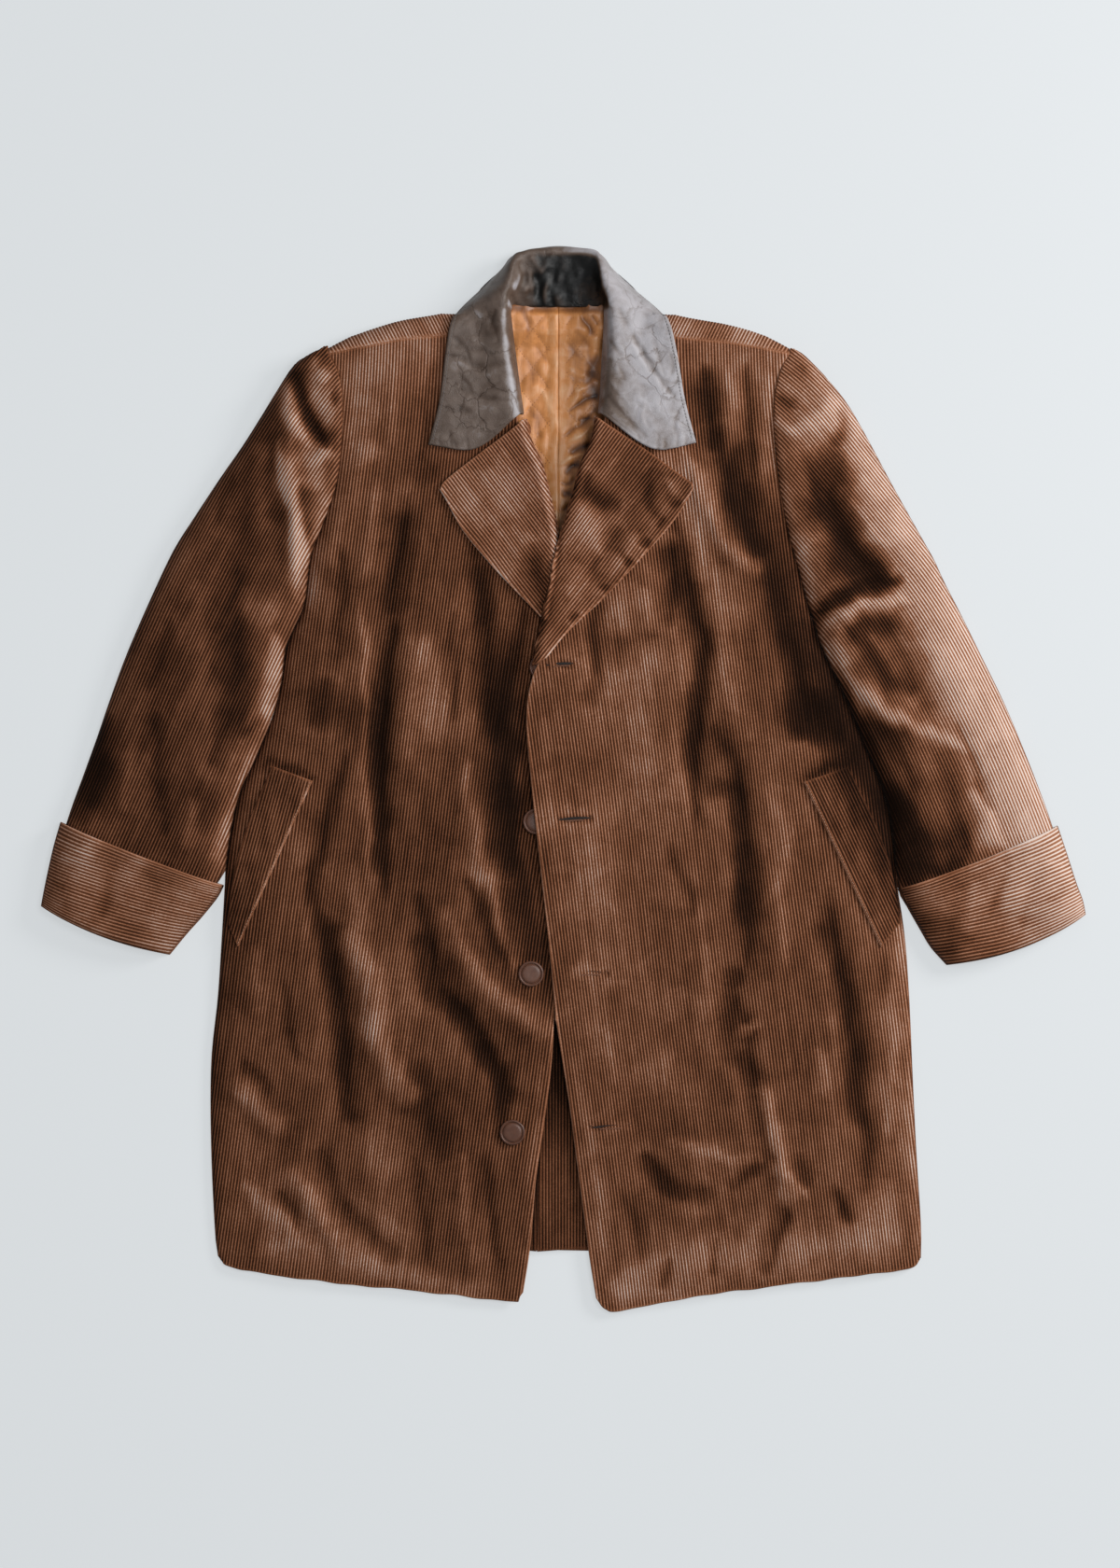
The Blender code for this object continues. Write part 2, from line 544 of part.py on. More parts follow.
def make_lining(side):
    """Half of the quilted back lining, with a flat pleat along the centre."""
    sign, column = (-1, 1) if side == "right" else (1, 2)
    y = np.append(np.arange(LINING[0][0], LINING_TOP - QUILT_LENGTH / 8, QUILT_LENGTH / 4), LINING_TOP)
    start = CENTRE_X + sign * SEAM / 2
    x = start + (read(LINING, y, column) - start)[:, None] * np.linspace(0, 1, 8)[None, :]
    y = np.repeat(y[:, None], x.shape[1], axis=1)
    one_way = np.sin(np.pi * (x / QUILT_WIDTH + y / QUILT_LENGTH))
    other_way = np.sin(np.pi * (x / QUILT_WIDTH - y / QUILT_LENGTH))
    quilt = QUILT_RISE * np.abs(one_way * other_way) ** QUILT_POWER
    pleat = 1 - smooth(np.abs(x - CENTRE_X), PLEAT_FROM, PLEAT_TO)
    pleat_rise = PLEAT_RISE * pleat if side == "right" else 0
    base = SEAT + LINING_RAISE * smooth(y, 458, 482)
    top = base + LINING_WALL + np.maximum(quilt * (1 - pleat), pleat_rise)
    xy = np.stack([x, y], axis=-1)
    return closed(f"lining_{side}", "lining", stack(xy, top), stack(xy, base))


def make_vent_facing(side):
    xy = four_sided(VENT_FACING[side], 4, 6)
    low = np.full(xy.shape[:2], SEAT)
    return closed(f"vent_facing_{side}", "corduroy", stack(xy, low + FACING_WALL), stack(xy, low))


def make_welt(side, front):
    """A welt moved out from the front's own points."""
    xy = four_sided(WELT[side], 4, 12)
    rest = support([front], xy, 3.0) + WELT_CLEAR
    middle = WELT_RISE * np.sin(np.pi * np.linspace(0, 1, xy.shape[1]))
    return closed(f"welt_{side}", "corduroy", stack(xy, rest + TRIM_WALL + middle), stack(xy, rest))


def make_lapel(side, under):
    """A lapel on its front: it lies flat to its outer edge and rolls down at the roll line."""
    parts = LAPEL[side]
    outer, roll = at_shares(parts["outer"], LAPEL_ROWS), at_shares(parts["roll"], LAPEL_ROWS)
    bottom = outer[0] + (roll[0] - outer[0]) * LAPEL_SHARES[:, None]
    xy = patch(bottom, at_shares(parts["top"], LAPEL_SHARES), outer, roll, LAPEL_SHARES, LAPEL_ROWS)
    resting = support(under, xy) + LAYER
    low = np.maximum(ROLL_LOW, resting) if side == "left" else np.full(resting.shape, ROLL_LOW)
    away = np.linalg.norm(xy[:, :, None] - curve(parts["roll"])[None, None], axis=-1).min(axis=2)
    rise = ROLL_RISE * np.exp(-((away / ROLL_RISE_WIDTH) ** 2))
    standing = np.maximum(resting, body_height(xy) + LAYER) + WALL + rise
    height = low + (standing - low) * rounded(away, ROLL_RADIUS, ROLL_POWER)
    height = np.where(away > 1.5 * ROLL_RADIUS, np.maximum(height, resting + WALL), height)
    edges = [("bottom", "up"), ("top", "up"), ("left", "up"), ("right", "level")]
    return wall(f"lapel_{side}", "corduroy", stack(xy, height), LAPEL_WALL, edges, floor=low)


def make_collar(under):
    """The collar as one horseshoe of sections, resting on the coat where a section has no height of its own."""
    stations = np.array([[[np.nan if p is None else p for p in point] for point in row] for row in COLLAR])
    resting = support(under, stations[..., :2]) + LAYER + WALL + COLLAR_CLEAR
    stations[..., 2] = np.where(np.isnan(stations[..., 2]), resting, stations[..., 2])
    lines = np.stack([curve(stations[:, k], 2) for k in range(stations.shape[1])], axis=1)
    grid = np.stack([at_shares(row, COLLAR_SHARES) for row in lines])
    lying = support(under, grid[..., :2], COLLAR_SPREAD)
    on_coat = (lying > 0) & (COLLAR_SHARES > COLLAR_SHARES[1])
    grid[..., 2] = np.where(on_coat, np.maximum(grid[..., 2], lying + LAYER + WALL), grid[..., 2])
    grid[..., 2] = np.maximum(grid[..., 2], 0)
    on_floor = grid[:, -1, 2] < COLLAR_FLOOR
    edges = [("bottom", "up"), ("top", "up"), ("left", "up"), ("right", "up"), ("right", "level", on_floor)]
    return wall("collar", "leather", grid, TRIM_WALL, edges, floor=0)


def sleeve_rows(side):
    """The sleeve's table as columns, with a row for each row of the front's grid that it runs beside."""
    sign = -1 if side == "right" else 1
    table = np.array([[np.nan if value is None else value for value in row] for row in SLEEVE[side]])[::-1]
    y, inner_x = table[:, 0], table[:, 1]
    beside = y[np.isnan(inner_x)]
    edge = at_shares(SIDE[side], FRONT_ROWS)
    edge = edge[(edge[:, 1] > beside[0] - 1) & (edge[:, 1] < beside[-1] + 1)]
    free = ~np.isnan(inner_x)
    ys = np.concatenate([y[free], edge[:, 1]])
    xs = np.concatenate([inner_x[free], edge[:, 0] + sign * SEAM])
    order = np.argsort(-ys)
    rest = [np.interp(ys[order], y, table[:, k]) for k in range(2, table.shape[1])]
    return np.stack([ys[order], xs[order], *rest], axis=1)


def sleeve_grid(side, shares):
    """x and y of a sleeve's grid, its height, the height of its inner edge and the height that it stands on."""
    rows = sleeve_rows(side)
    inner, outer = rows[:, [1, 0]], rows[:, 2:4]
    xy = inner[:, None] + (outer - inner)[:, None] * shares[None, :, None]
    return xy, rows[:, 4, None], rows[:, 5, None], rows[:, 6, None]


def make_sleeve_top(side):
    xy, crown, low, stand = sleeve_grid(side, SLEEVE_SHARES)
    width = np.linalg.norm(xy[:, -1] - xy[:, 0], axis=1)[:, None]
    reach = np.minimum(SLEEVE_ROUND, width * 0.46)
    seat = stand + TRIM_WALL + SEAM
    low = np.maximum(low, seat)
    from_inner = rounded(width * SLEEVE_SHARES, reach)
    from_outer = rounded(width * (1 - SLEEVE_SHARES), reach)
    height = seat + (low + (crown - low) * from_inner - seat) * from_outer
    height += fold_height(SLEEVE_FOLDS[side], xy) * np.minimum(from_inner, from_outer)
    on_surface = (low <= seat)[:, 0]
    edges = [("bottom", "up"), ("top", "up"), ("left", "up"), ("right", "level"), ("left", "level", on_surface)]
    return wall(f"sleeve_{side}_top", "corduroy", stack(xy, height), WALL, edges, floor=seat)


def make_sleeve_under(side):
    xy, _, _, stand = sleeve_grid(side, np.linspace(0, 1, 4))
    low = np.repeat(stand, xy.shape[1], axis=1)
    return closed(f"sleeve_{side}_under", "corduroy", stack(xy, low), stack(xy, low + TRIM_WALL))


def cuff_grid(side, shares):
    """x and y of a cuff's grid: rows from its top edge to its fold, columns from the inner edge outwards."""
    rows = at_shares(CUFF[side], np.linspace(0, 1, CUFF_ROWS))
    inner, outer, bow = rows[:, :2], rows[:, 2:4], rows[:, 4]
    across = outer - inner
    hand = np.stack([across[:, 1], -across[:, 0]], axis=1)
    hand *= (np.sign(-hand[:, 1]) / np.linalg.norm(hand, axis=1))[:, None]
    arc = (4 * shares * (1 - shares))[None, :, None]
    return inner[:, None] + across[:, None] * shares[None, :, None] + hand[:, None] * bow[:, None, None] * arc


def make_cuff(side):
    """The turned-up cuff's upper and lower halves round the sleeve's end."""
    xy = cuff_grid(side, CUFF_SHARES)
    width = np.linalg.norm(xy[:, -1] - xy[:, 0], axis=1)[:, None]
    reach = np.minimum(SLEEVE_ROUND, width * 0.42)
    share = np.minimum(rounded(width * CUFF_SHARES, reach), rounded(width * (1 - CUFF_SHARES), reach))
    taper = np.linspace(1, CUFF_TAPER, len(xy))[:, None]
    seat = TRIM_WALL + SEAM
    edges = [("bottom", "up"), ("top", "up"), ("left", "level"), ("right", "level")]
    upper = stack(xy, seat + (CUFF_HEIGHT - seat) * share * taper)
    wall(f"cuff_{side}_top", "corduroy", upper, TRIM_WALL, edges, floor=seat)
    xy = cuff_grid(side, np.linspace(0, 1, 5))
    low = np.zeros(xy.shape[:2])
    closed(f"cuff_{side}_under", "corduroy", stack(xy, low), stack(xy, low + TRIM_WALL))


def make_button(number, x, y, front):
    """A turned button with a rim, a groove and a raised middle, set on its front."""
    turns = np.linspace(0, 2 * np.pi, BUTTON_SIDES, endpoint=False)
    circle = np.stack([np.cos(turns), np.sin(turns)], axis=1)
    centre = np.array([(x, y)], float)
    rest = support([front], np.vstack([centre, centre + 12 * circle[::2]])).max() + BUTTON_CLEAR
    rings = [stack(centre + radius * circle, np.full(BUTTON_SIDES, rest + z)) for radius, z in BUTTON_PROFILE]
    points = np.vstack([[(x, y, rest)], *rings, [(x, y, rest + BUTTON_THICKNESS)]])
    ring = np.arange(BUTTON_SIDES) + 1
    around = np.roll(ring, -1)
    last_ring = (len(rings) - 1) * BUTTON_SIDES
    faces = [(0, b, a) for a, b in zip(ring, around)]
    for start in range(0, last_ring, BUTTON_SIDES):
        over = start + BUTTON_SIDES
        faces += [(start + a, start + b, over + b, over + a) for a, b in zip(ring, around)]
    faces += [(last_ring + a, last_ring + b, len(points) - 1) for a, b in zip(ring, around)]
    return new_object(f"button_{number}", "button", points, [[int(i) for i in face] for face in faces])


def main():
    clear_scene()
    backs = [make_back(side) for side in SIDE]
    linings = [make_lining(side) for side in SIDE]
    facings = [make_vent_facing(side) for side in SIDE]
    front_right = make_front("right", facings + linings)
    buttons = [make_button(i + 1, x, y, front_right) for i, (x, y) in enumerate(BUTTONS)]
    hidden = buttons[2:]
    front_left = make_front("left", [front_right, *facings, *linings, *hidden])
    lapel = make_lapel("right", [front_right])
    make_lapel("left", [front_left, front_right, lapel, *hidden])
    make_collar([front_left, front_right, *backs, *linings])
    for side, front in (("right", front_right), ("left", front_left)):
        make_welt(side, front)
        make_sleeve_top(side)
        make_sleeve_under(side)
        make_cuff(side)


main()
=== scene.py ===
"""Looks of the corduroy coat: dense cloth whose columns follow the wales, leather, satin, buttons and sewing.

Sizes are in millimetres and become metres where a mesh is made. The frame is the CAD's: +Z up from the
surface that the coat lies on, +Y from the hem to the collar, +X to the wearer's left. The tables of the
coat's outline and form repeat those that the solids were made from.
"""

import math
from collections import namedtuple

import bpy
import numpy as np
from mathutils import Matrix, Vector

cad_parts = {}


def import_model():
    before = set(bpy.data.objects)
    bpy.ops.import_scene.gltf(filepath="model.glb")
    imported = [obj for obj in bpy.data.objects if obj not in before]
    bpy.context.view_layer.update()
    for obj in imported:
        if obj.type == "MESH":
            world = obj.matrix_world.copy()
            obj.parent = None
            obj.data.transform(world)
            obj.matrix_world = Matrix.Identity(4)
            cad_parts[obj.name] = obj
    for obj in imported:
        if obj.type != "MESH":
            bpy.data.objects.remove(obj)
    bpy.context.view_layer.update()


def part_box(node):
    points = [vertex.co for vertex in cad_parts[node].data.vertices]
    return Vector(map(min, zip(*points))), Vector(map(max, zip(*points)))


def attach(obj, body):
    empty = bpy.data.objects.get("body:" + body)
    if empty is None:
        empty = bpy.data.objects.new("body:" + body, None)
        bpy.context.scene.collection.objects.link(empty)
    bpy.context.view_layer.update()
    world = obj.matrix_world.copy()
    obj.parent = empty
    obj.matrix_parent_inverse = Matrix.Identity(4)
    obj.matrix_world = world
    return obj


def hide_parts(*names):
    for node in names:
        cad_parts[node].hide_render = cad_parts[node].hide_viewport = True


MM = 0.001
WALL, TRIM_WALL, SEAM, LAYER = 3.0, 2.5, 0.3, 0.9
SEAT = WALL + SEAM
CENTRE_X = -5.0
ROUND_WIDTH, ROUND_POWER = 75.0, 2.4
FOLD_FADE = 30.0
NECK_DROP, NECK_WIDTH, NECK_STRETCH = 0.5, 70.0, (390, 480)
OUTWARD = {"right": -1, "left": 1}  # the way of +X or -X that leads out of the coat on each side

# Corduroy: the wales' pitch, their relief and the spacing of the columns that carry it.
WALE = 3.3
STEP = WALE / 4
RELIEF = 0.5

CROWN = ((-575, 10), (-450, 12), (-300, 15), (-150, 18), (0, 21), (150, 25), (300, 30), (400, 34), (470, 37))
SIDE_HEIGHT = ((-575, SEAT), (150, SEAT), (185, 6), (235, 15), (300, 24), (380, 31), (470, 34))
SIDE = {
    "right": (
        (-367, -518), (-372, -500), (-377, -400), (-377, -306), (-370, -237), (-366, -177), (-362.5, -117),
        (-360, -77), (-348, -20), (-330, 20), (-311, 67), (-302, 103), (-296, 142), (-277, 186), (-270, 236),
        (-258, 268), (-243, 312), (-237, 358), (-236, 405), (-241, 434), (-251, 452),
    ),
    "left": (
        (384, -517), (384, -480), (379, -400), (375, -317), (372, -247), (368, -185), (364, -150),
        (359, -119), (357, -92), (355, -67), (345, -17), (325, 33), (300, 93), (277, 143), (262, 190),
        (251, 230), (242, 262), (231, 320), (226, 373), (227, 410), (234, 437), (243, 452),
    ),
}
EDGE = {
    "right": (
        (-43, -552), (-35, -500), (-29, -430), (-20, -368), (-12, -300), (-8, -217), (-2, -67), (-2, 50),
        (-11, 130), (-19, 180), (-17, 262), (-27, 310), (-37, 345), (-48, 380), (-53, 415), (-61, 463),
        (-64, 495),
    ),
    "left": (
        (36, -558), (28, -508), (15, -410), (7, -349), (-1, -298), (-7, -256), (-17, -156), (-27, -67),
        (-34, 0), (-38, 44), (-38, 78), (-32, 108), (-22, 132), (-7, 178), (7, 233), (18, 278), (30, 328),
        (43, 372), (50, 413), (55, 463), (57, 495),
    ),
}
HEM = {
    "right": ((-367, -518), (-359, -524), (-315, -533), (-189, -547), (-60, -561), (-50, -560), (-43, -552)),
    "left": (
        (384, -517), (374, -526), (339, -531), (258, -541), (164, -553), (66, -571), (46, -570), (36, -558),
    ),
}
SHOULDER = {
    "right": ((-251, 452), (-220, 458), (-174, 467), (-125, 472), (-86, 483), (-64, 495)),
    "left": ((243, 452), (185, 463), (120, 470), (80, 483), (57, 495)),
}
BACK_HEM = {"right": ((-367, -515), (-200, -511), (-5, -507)), "left": ((384, -514), (200, -511), (-5, -507))}
# The back's edge at the neck. Columns: distance from the centre, drop below the end of the shoulder's seam.
BACK_NECK = ((46, 4), (25, 5), (SEAM / 2, 5))
# The back's shoulder, rolled over to the front. Columns: distance from the centre, then how far it reaches
# past the seam, or how high it is.
ROLL_REACH = (
    (0, 5), (25, 5), (46, 5.5), (60, 11), (83, 16), (125, 25), (174, 21), (205, 17.5), (222, 15),
    (235, 11), (248, 6.5),
)
ROLL_HEIGHT = ((0, 8.5), (25, 9), (50, 9.5))

# Large folds, as in the solids. Columns: route as (x, y) points, width, height (a trough is negative).
FOLDS = {
    "right": (
        (((-176, 270), (-194, 139), (-201, 31), (-198, -42)), 17, -4.0),
        (((-212, 347), (-252, 234)), 13, 3.0),
        (((-92, 212), (-89, 85), (-59, 31)), 15, -3.5),
        (((-158, 139), (-172, 31)), 17, 3.0),
        (((-229, -180), (-205, -221), (-199, -282), (-167, -338)), 14, 4.5),
        (((-253, -167), (-237, -301), (-229, -360)), 15, -3.5),
        (((-154, -180), (-146, -229), (-114, -253), (-60, -338)), 14, -4.0),
        (((-111, -183), (-82, -226), (-40, -258)), 15, 3.5),
        (((-350, -330), (-309, -371)), 13, 3.0),
        (((-288, -429), (-253, -483), (-237, -515)), 13, 3.5),
        (((-258, -408), (-242, -456), (-189, -510)), 13, -3.5),
    ),
    "left": (
        (((109, 235), (146, 133), (139, 69), (146, -2), (186, -26), (200, -144)), 16, -4.0),
        (((142, 319), (186, 238), (200, 224)), 15, 3.0),
        (((186, 346), (213, 245), (247, 110), (280, 42)), 15, -3.5),
        (((38, 180), (41, 126), (27, 86)), 13, -3.0),
        (((280, -167), (306, -242), (317, -301), (314, -360)), 15, -3.0),
        (((181, -215), (175, -287), (197, -317), (223, -405)), 13, -4.0),
        (((210, -338), (229, -395), (245, -443)), 12, 4.0),
        (((89, -416), (116, -438), (148, -448)), 12, -3.0),
        (((234, -467), (207, -515)), 12, -3.0),
    ),
}
SLEEVE_FOLDS = {
    "right": (
        (((-280, 428), (-262, 372)), 13, -4.0),
        (((-294, 332), (-283, 288), (-284, 215)), 11, 3.5),
        (((-312, 358), (-309, 285)), 13, -3.0),
        (((-363, 66), (-375, 20)), 14, -2.5),
    ),
    "left": (
        (((285, 152), (310, 173), (342, 183)), 12, 4.0),
        (((297, 376), (276, 314), (326, 205)), 15, -4.0),
        (((344, 158), (388, 78)), 13, -3.0),
        (((340, 49), (373, -6)), 13, -3.0),
    ),
}
# Smaller folds, and the nap's tone with painted light and shade: lighter on ridges, darker in troughs, and
# painted shadow beside edges and between parts. Columns: route as (x, y) points, width, height, tone. A tone
# of 1 about doubles the brightness, and -1 more than halves it.
STROKES = {
    "front_right": (
        (((-165, 300), (-176, 230), (-182, 170)), 13, -1.2, -0.8),
        (((-184, 170), (-190, 100), (-197, 40), (-198, -10), (-193, -70), (-190, -135)), 11, -2.2, -1.3),
        (((-216, 190), (-213, 100), (-212, 0), (-209, -70), (-206, -130)), 9, 1.6, 0.6),
        (((-150, 150), (-140, 90), (-145, 30)), 17, 1.2, 0.7),
        (((-100, 250), (-84, 190), (-80, 120), (-80, 60)), 14, -1.6, -0.9),
        (((-42, 185), (-54, 110), (-62, 30), (-58, -50), (-42, -120), (-28, -180), (-16, -262)),
         15, -1.0, -1.5),
        (((-106, 20), (-100, -40), (-88, -90), (-70, -145)), 11, 2.0, 0.9),
        (((-150, -20), (-160, -110)), 34, 0, -0.45),
        (((-232, 30), (-246, -20), (-264, -85), (-272, -140)), 11, -2.0, -0.8),
        (((-292, -10), (-284, -100)), 13, 1.2, 0.4),
        (((-232, 350), (-250, 275), (-270, 205), (-290, 135), (-306, 75)), 14, 1.0, 0.55),
        (((-200, 320), (-214, 210)), 10, 1.4, 0.5),
        (((-238, 250), (-236, 180), (-246, 110)), 10, -1.2, -0.5),
        (((-180, 440), (-184, 350)), 12, 1.0, 0.35),
        (((-140, 440), (-152, 340)), 11, -1.0, -0.4),
        (((-118, 180), (-116, 60)), 10, -1.2, -0.4),
        (((-223, -90), (-220, -150), (-216, -205), (-208, -240), (-200, -290), (-185, -330), (-168, -352)),
         15, 1.6, 1.5),
        (((-272, -110), (-258, -170), (-243, -225), (-233, -285), (-236, -335), (-226, -372)),
         12, -1.6, -0.95),
        (((-156, -120), (-141, -185), (-124, -230), (-94, -272), (-75, -312), (-60, -370)), 14, -2.0, -1.05),
        (((-131, -135), (-110, -182), (-85, -222), (-50, -250), (-16, -280)), 12, 1.6, 0.85),
        (((-104, -105), (-82, -158), (-58, -205)), 8, -1.4, -0.6),
        (((-86, -95), (-70, -160), (-44, -232)), 8, 1.4, 0.3),
        (((-62, -300), (-68, -350), (-62, -395)), 11, -1.4, -0.6),
        (((-28, -300), (-26, -350), (-33, -420), (-40, -490)), 6, 0.4, 0.5),
        (((-354, -330), (-312, -372)), 11, 1.4, 0.5),
        (((-348, -300), (-310, -342)), 9, -1.4, -0.5),
        (((-345, -432), (-300, -480), (-262, -512)), 11, 2.0, 0.8),
        (((-284, -425), (-266, -470), (-240, -500)), 8, 2.2, 0.8),
        (((-305, -440), (-278, -496)), 8, -1.8, -0.6),
        (((-245, -505), (-190, -530), (-130, -540)), 13, 1.2, 0.8),
        (((-372, -120), (-374, -300), (-372, -500)), 13, 0, -0.9),
        (((-210, -370), (-200, -440), (-190, -500)), 14, 0.8, 0.35),
        (((-160, -400), (-150, -470), (-140, -530)), 12, -1.4, -0.4),
        (((-110, -400), (-104, -470), (-96, -530)), 9, 1.4, 0.3),
        (((-84, -400), (-76, -470), (-66, -530)), 9, -1.2, -0.4),
        (((-128, -330), (-132, -400)), 10, 1.0, 0.2),
        (((-330, -180), (-326, -260)), 12, 1.0, 0.25),
        (((-300, -210), (-292, -280), (-284, -310)), 10, -1.2, -0.4),
        (((-335, -410), (-250, -490), (-150, -522)), 42, 0, 0.5),
        (((-185, -340), (-196, -440)), 34, 0, 0.4),
        (((-190, -180), (-176, -300)), 26, 0, 0.35),
        (((-330, -300), (-335, -420)), 30, 0, 0.35),
        (((-222, 455), (-222, 400), (-216, 330)), 22, 0, 1.3),
        (((-215, 448), (-130, 452)), 24, 0, 0.9),
        (((-152, 352), (-138, 312)), 18, 0, -0.9),
        (((-268, 230), (-276, 180)), 16, 0, 1.0),
        (((-250, 110), (-262, 50)), 22, 0, -1.2),
        (((-222, 110), (-205, 50), (-184, 0)), 22, 0, -1.0),
        (((-56, 160), (-64, 80), (-62, 0), (-56, -110)), 19, 0, -1.7),
        (((-24, 60), (-20, 10)), 10, 0, 0.7),
        (((-108, -40), (-98, -80), (-84, -120)), 13, 0, 1.1),
        (((-106, -165), (-100, -215)), 18, 0, -0.8),
        (((-152, -300), (-142, -350), (-128, -410)), 22, 0, -1.3),
        (((-343, -200), (-345, -255)), 18, 0, -0.6),
        (((-330, -498), (-262, -508), (-195, -518)), 22, 0, 1.9),
        (((-190, -536), (-110, -546), (-52, -550)), 14, 0, 0.8),
        (((-326, 6), (-311, 17), (-288, 8), (-262, -2)), 6, 0, -1.3),
        (((-364, -160), (-350, -120), (-334, -40)), 5, 0, -0.9),
    ),
    "front_left": (
        (((90, 352), (112, 300), (126, 250), (142, 180), (150, 128), (142, 60), (138, 0), (146, -60)),
         9, -1.6, -1.0),
        (((180, 350), (198, 285), (222, 215), (243, 140), (268, 85), (305, 35), (338, -25), (362, -80)),
         17, 0, -1.7),
        (((128, 362), (140, 320), (158, 272), (184, 234), (212, 220)), 9, 2.2, 1.3),
        (((164, 376), (175, 326), (192, 272), (212, 236)), 14, -2.2, -2.1),
        (((104, 350), (124, 312), (140, 275)), 24, 0, 1.6),
        (((142, 290), (150, 205)), 16, 0, 1.6),
        (((170, 228), (178, 190), (174, 152)), 18, 0, 1.1),
        (((266, 100), (254, 36)), 24, 0, -3.0),
        (((60, 215), (58, 150)), 20, 0, 0.9),
        (((300, 30), (292, 0)), 18, 0, -1.0),
        (((330, -50), (345, -105), (352, -160)), 20, 0, -1.9),
        (((204, -70), (206, -150), (216, -225)), 24, 0, -0.9),
        (((178, -295), (176, -355)), 18, 0, -0.7),
        (((137, 105), (137, 5)), 18, 0, -0.7),
        (((60, 130), (56, 10)), 26, 0, 0.6),
        (((98, -205), (100, -345)), 24, 0, 0.75),
        (((60, -535), (110, -520), (190, -512), (270, -508), (368, -486)), 22, 0, 1.6),
        (((345, -430), (352, -500)), 18, 0, 1.0),
        (((46, -550), (110, -552), (175, -545)), 16, 0, 1.0),
        (((166, 195), (171, 140), (181, 85), (200, 40)), 15, 1.2, 0.65),
        (((38, 190), (30, 160), (36, 108)), 8, -1.8, -0.8),
        (((160, 60), (186, 5), (190, -60), (193, -130), (198, -200)), 13, -1.6, -1.5),
        (((216, -10), (236, -60), (232, -130), (238, -210)), 13, 1.2, 0.45),
        (((92, 150), (90, 60), (80, -60)), 26, 0.8, 0.7),
        (((14, -50), (40, -150), (36, -270)), 24, 0, 0.5),
        (((-22, 70), (-18, -20), (-10, -110)), 12, 0.6, 0.5),
        (((110, -70), (128, -110), (140, -150)), 9, -1.2, -0.4),
        (((150, 440), (155, 400), (160, 345)), 14, -2.0, -1.8),
        (((196, 440), (200, 360), (206, 320)), 9, -1.6, -0.9),
        (((175, 440), (178, 380), (172, 330)), 9, 1.6, 0.7),
        (((215, 440), (218, 380)), 7, 1.2, 0.5),
        (((96, 470), (112, 400)), 12, 1.0, 0.4),
        (((112, 255), (120, 215), (112, 160)), 14, -1.6, -0.9),
        (((84, 205), (96, 150)), 9, 1.2, 0.35),
        (((56, 175), (62, 110)), 8, -1.0, -0.5),
        (((16, -196), (24, -212)), 12, 0, 0.9),
        (((194, -262), (200, -274)), 11, 0.8, 1.2),
        (((184, -232), (200, -298), (206, -348)), 11, -1.6, -0.8),
        (((284, -120), (299, -200), (309, -280), (312, -340), (328, -398), (320, -450)), 14, -1.6, -1.1),
        (((272, -285), (282, -345)), 11, 1.2, 0.5),
        (((350, -200), (352, -300), (345, -400)), 11, 1.2, 0.55),
        (((86, -402), (110, -440), (134, -450)), 11, -1.4, -0.8),
        (((60, -370), (120, -376), (196, -384)), 16, 0, -0.35),
        (((108, -392), (160, -402), (204, -412)), 9, 1.4, 0.5),
        (((214, -330), (225, -390), (235, -440), (246, -472)), 8, 1.6, 0.8),
        (((242, -462), (226, -508), (210, -535)), 8, -2.0, -0.95),
        (((118, -512), (106, -552)), 7, -1.4, -0.6),
        (((166, -495), (160, -538)), 7, -1.4, -0.6),
        (((142, -490), (134, -545)), 8, 1.2, 0.3),
        (((262, -500), (320, -500), (372, -490)), 16, 0, 0.5),
        (((44, -545), (80, -556)), 12, 0, 0.5),
        (((252, -400), (262, -442)), 9, -1.2, -0.5),
        (((288, -440), (312, -482)), 10, -1.6, -0.6),
        (((14, -300), (30, -400), (46, -530)), 12, 0, 0.95),
        (((206, -405), (238, -428), (262, -450)), 6, 1.6, 0.5),
        (((226, -404), (196, -428), (172, -440)), 7, -1.4, -0.5),
        (((60, -440), (78, -480), (84, -530)), 11, -1.0, -0.35),
        (((44, -260), (56, -330)), 13, 0.8, 0.25),
        (((96, -200), (104, -300)), 14, -0.8, -0.25),
        (((150, -180), (152, -260)), 12, 1.0, 0.3),
        (((376, -330), (378, -450)), 9, 0, 0.6),
        (((250, -8), (262, 1), (284, 9), (312, 18)), 6, 0, -1.3),
    ),
    "sleeve_right": (
        (((-285, 407), (-292, 334), (-278, 272), (-273, 216)), 12, 2.2, 0.9),
        (((-243, 352), (-274, 334)), 8, 1.8, 0.7),
        (((-306, 147), (-302, 84), (-313, 43)), 8, 1.8, 0.7),
        (((-288, 438), (-283, 412), (-269, 376), (-248, 352)), 7, -4.5, -1.9),
        (((-264, 450), (-259, 405), (-250, 366)), 15, 0, 2.3),
        (((-276, 356), (-262, 306)), 17, 0, 1.6),
        (((-352, 190), (-304, 166)), 20, 0, 1.3),
        (((-312, 80), (-300, 40)), 14, 0, 2.2),
        (((-384, 0), (-384, -60)), 18, 0, -0.8),
        (((-346, 20), (-350, -70)), 12, 0, -0.8),
        (((-488, 70), (-504, 10), (-512, -50)), 20, 0, -2.4),
        (((-297, 428), (-291, 385), (-272, 352)), 9, 2.5, 1.9),
        (((-240, 342), (-262, 350)), 8, 1.5, 0.8),
        (((-258, 440), (-252, 420)), 6, 1.4, 0.5),
        (((-247, 410), (-244, 395)), 4, -1.2, -0.6),
        (((-306, 362), (-300, 320), (-290, 280), (-284, 235), (-288, 190)), 9, 2.8, 2.6),
        (((-281, 312), (-273, 262), (-262, 238)), 8, -2.6, -0.9),
        (((-332, 345), (-342, 280), (-347, 220), (-350, 140), (-346, 80), (-352, 25)), 18, -2.0, -0.8),
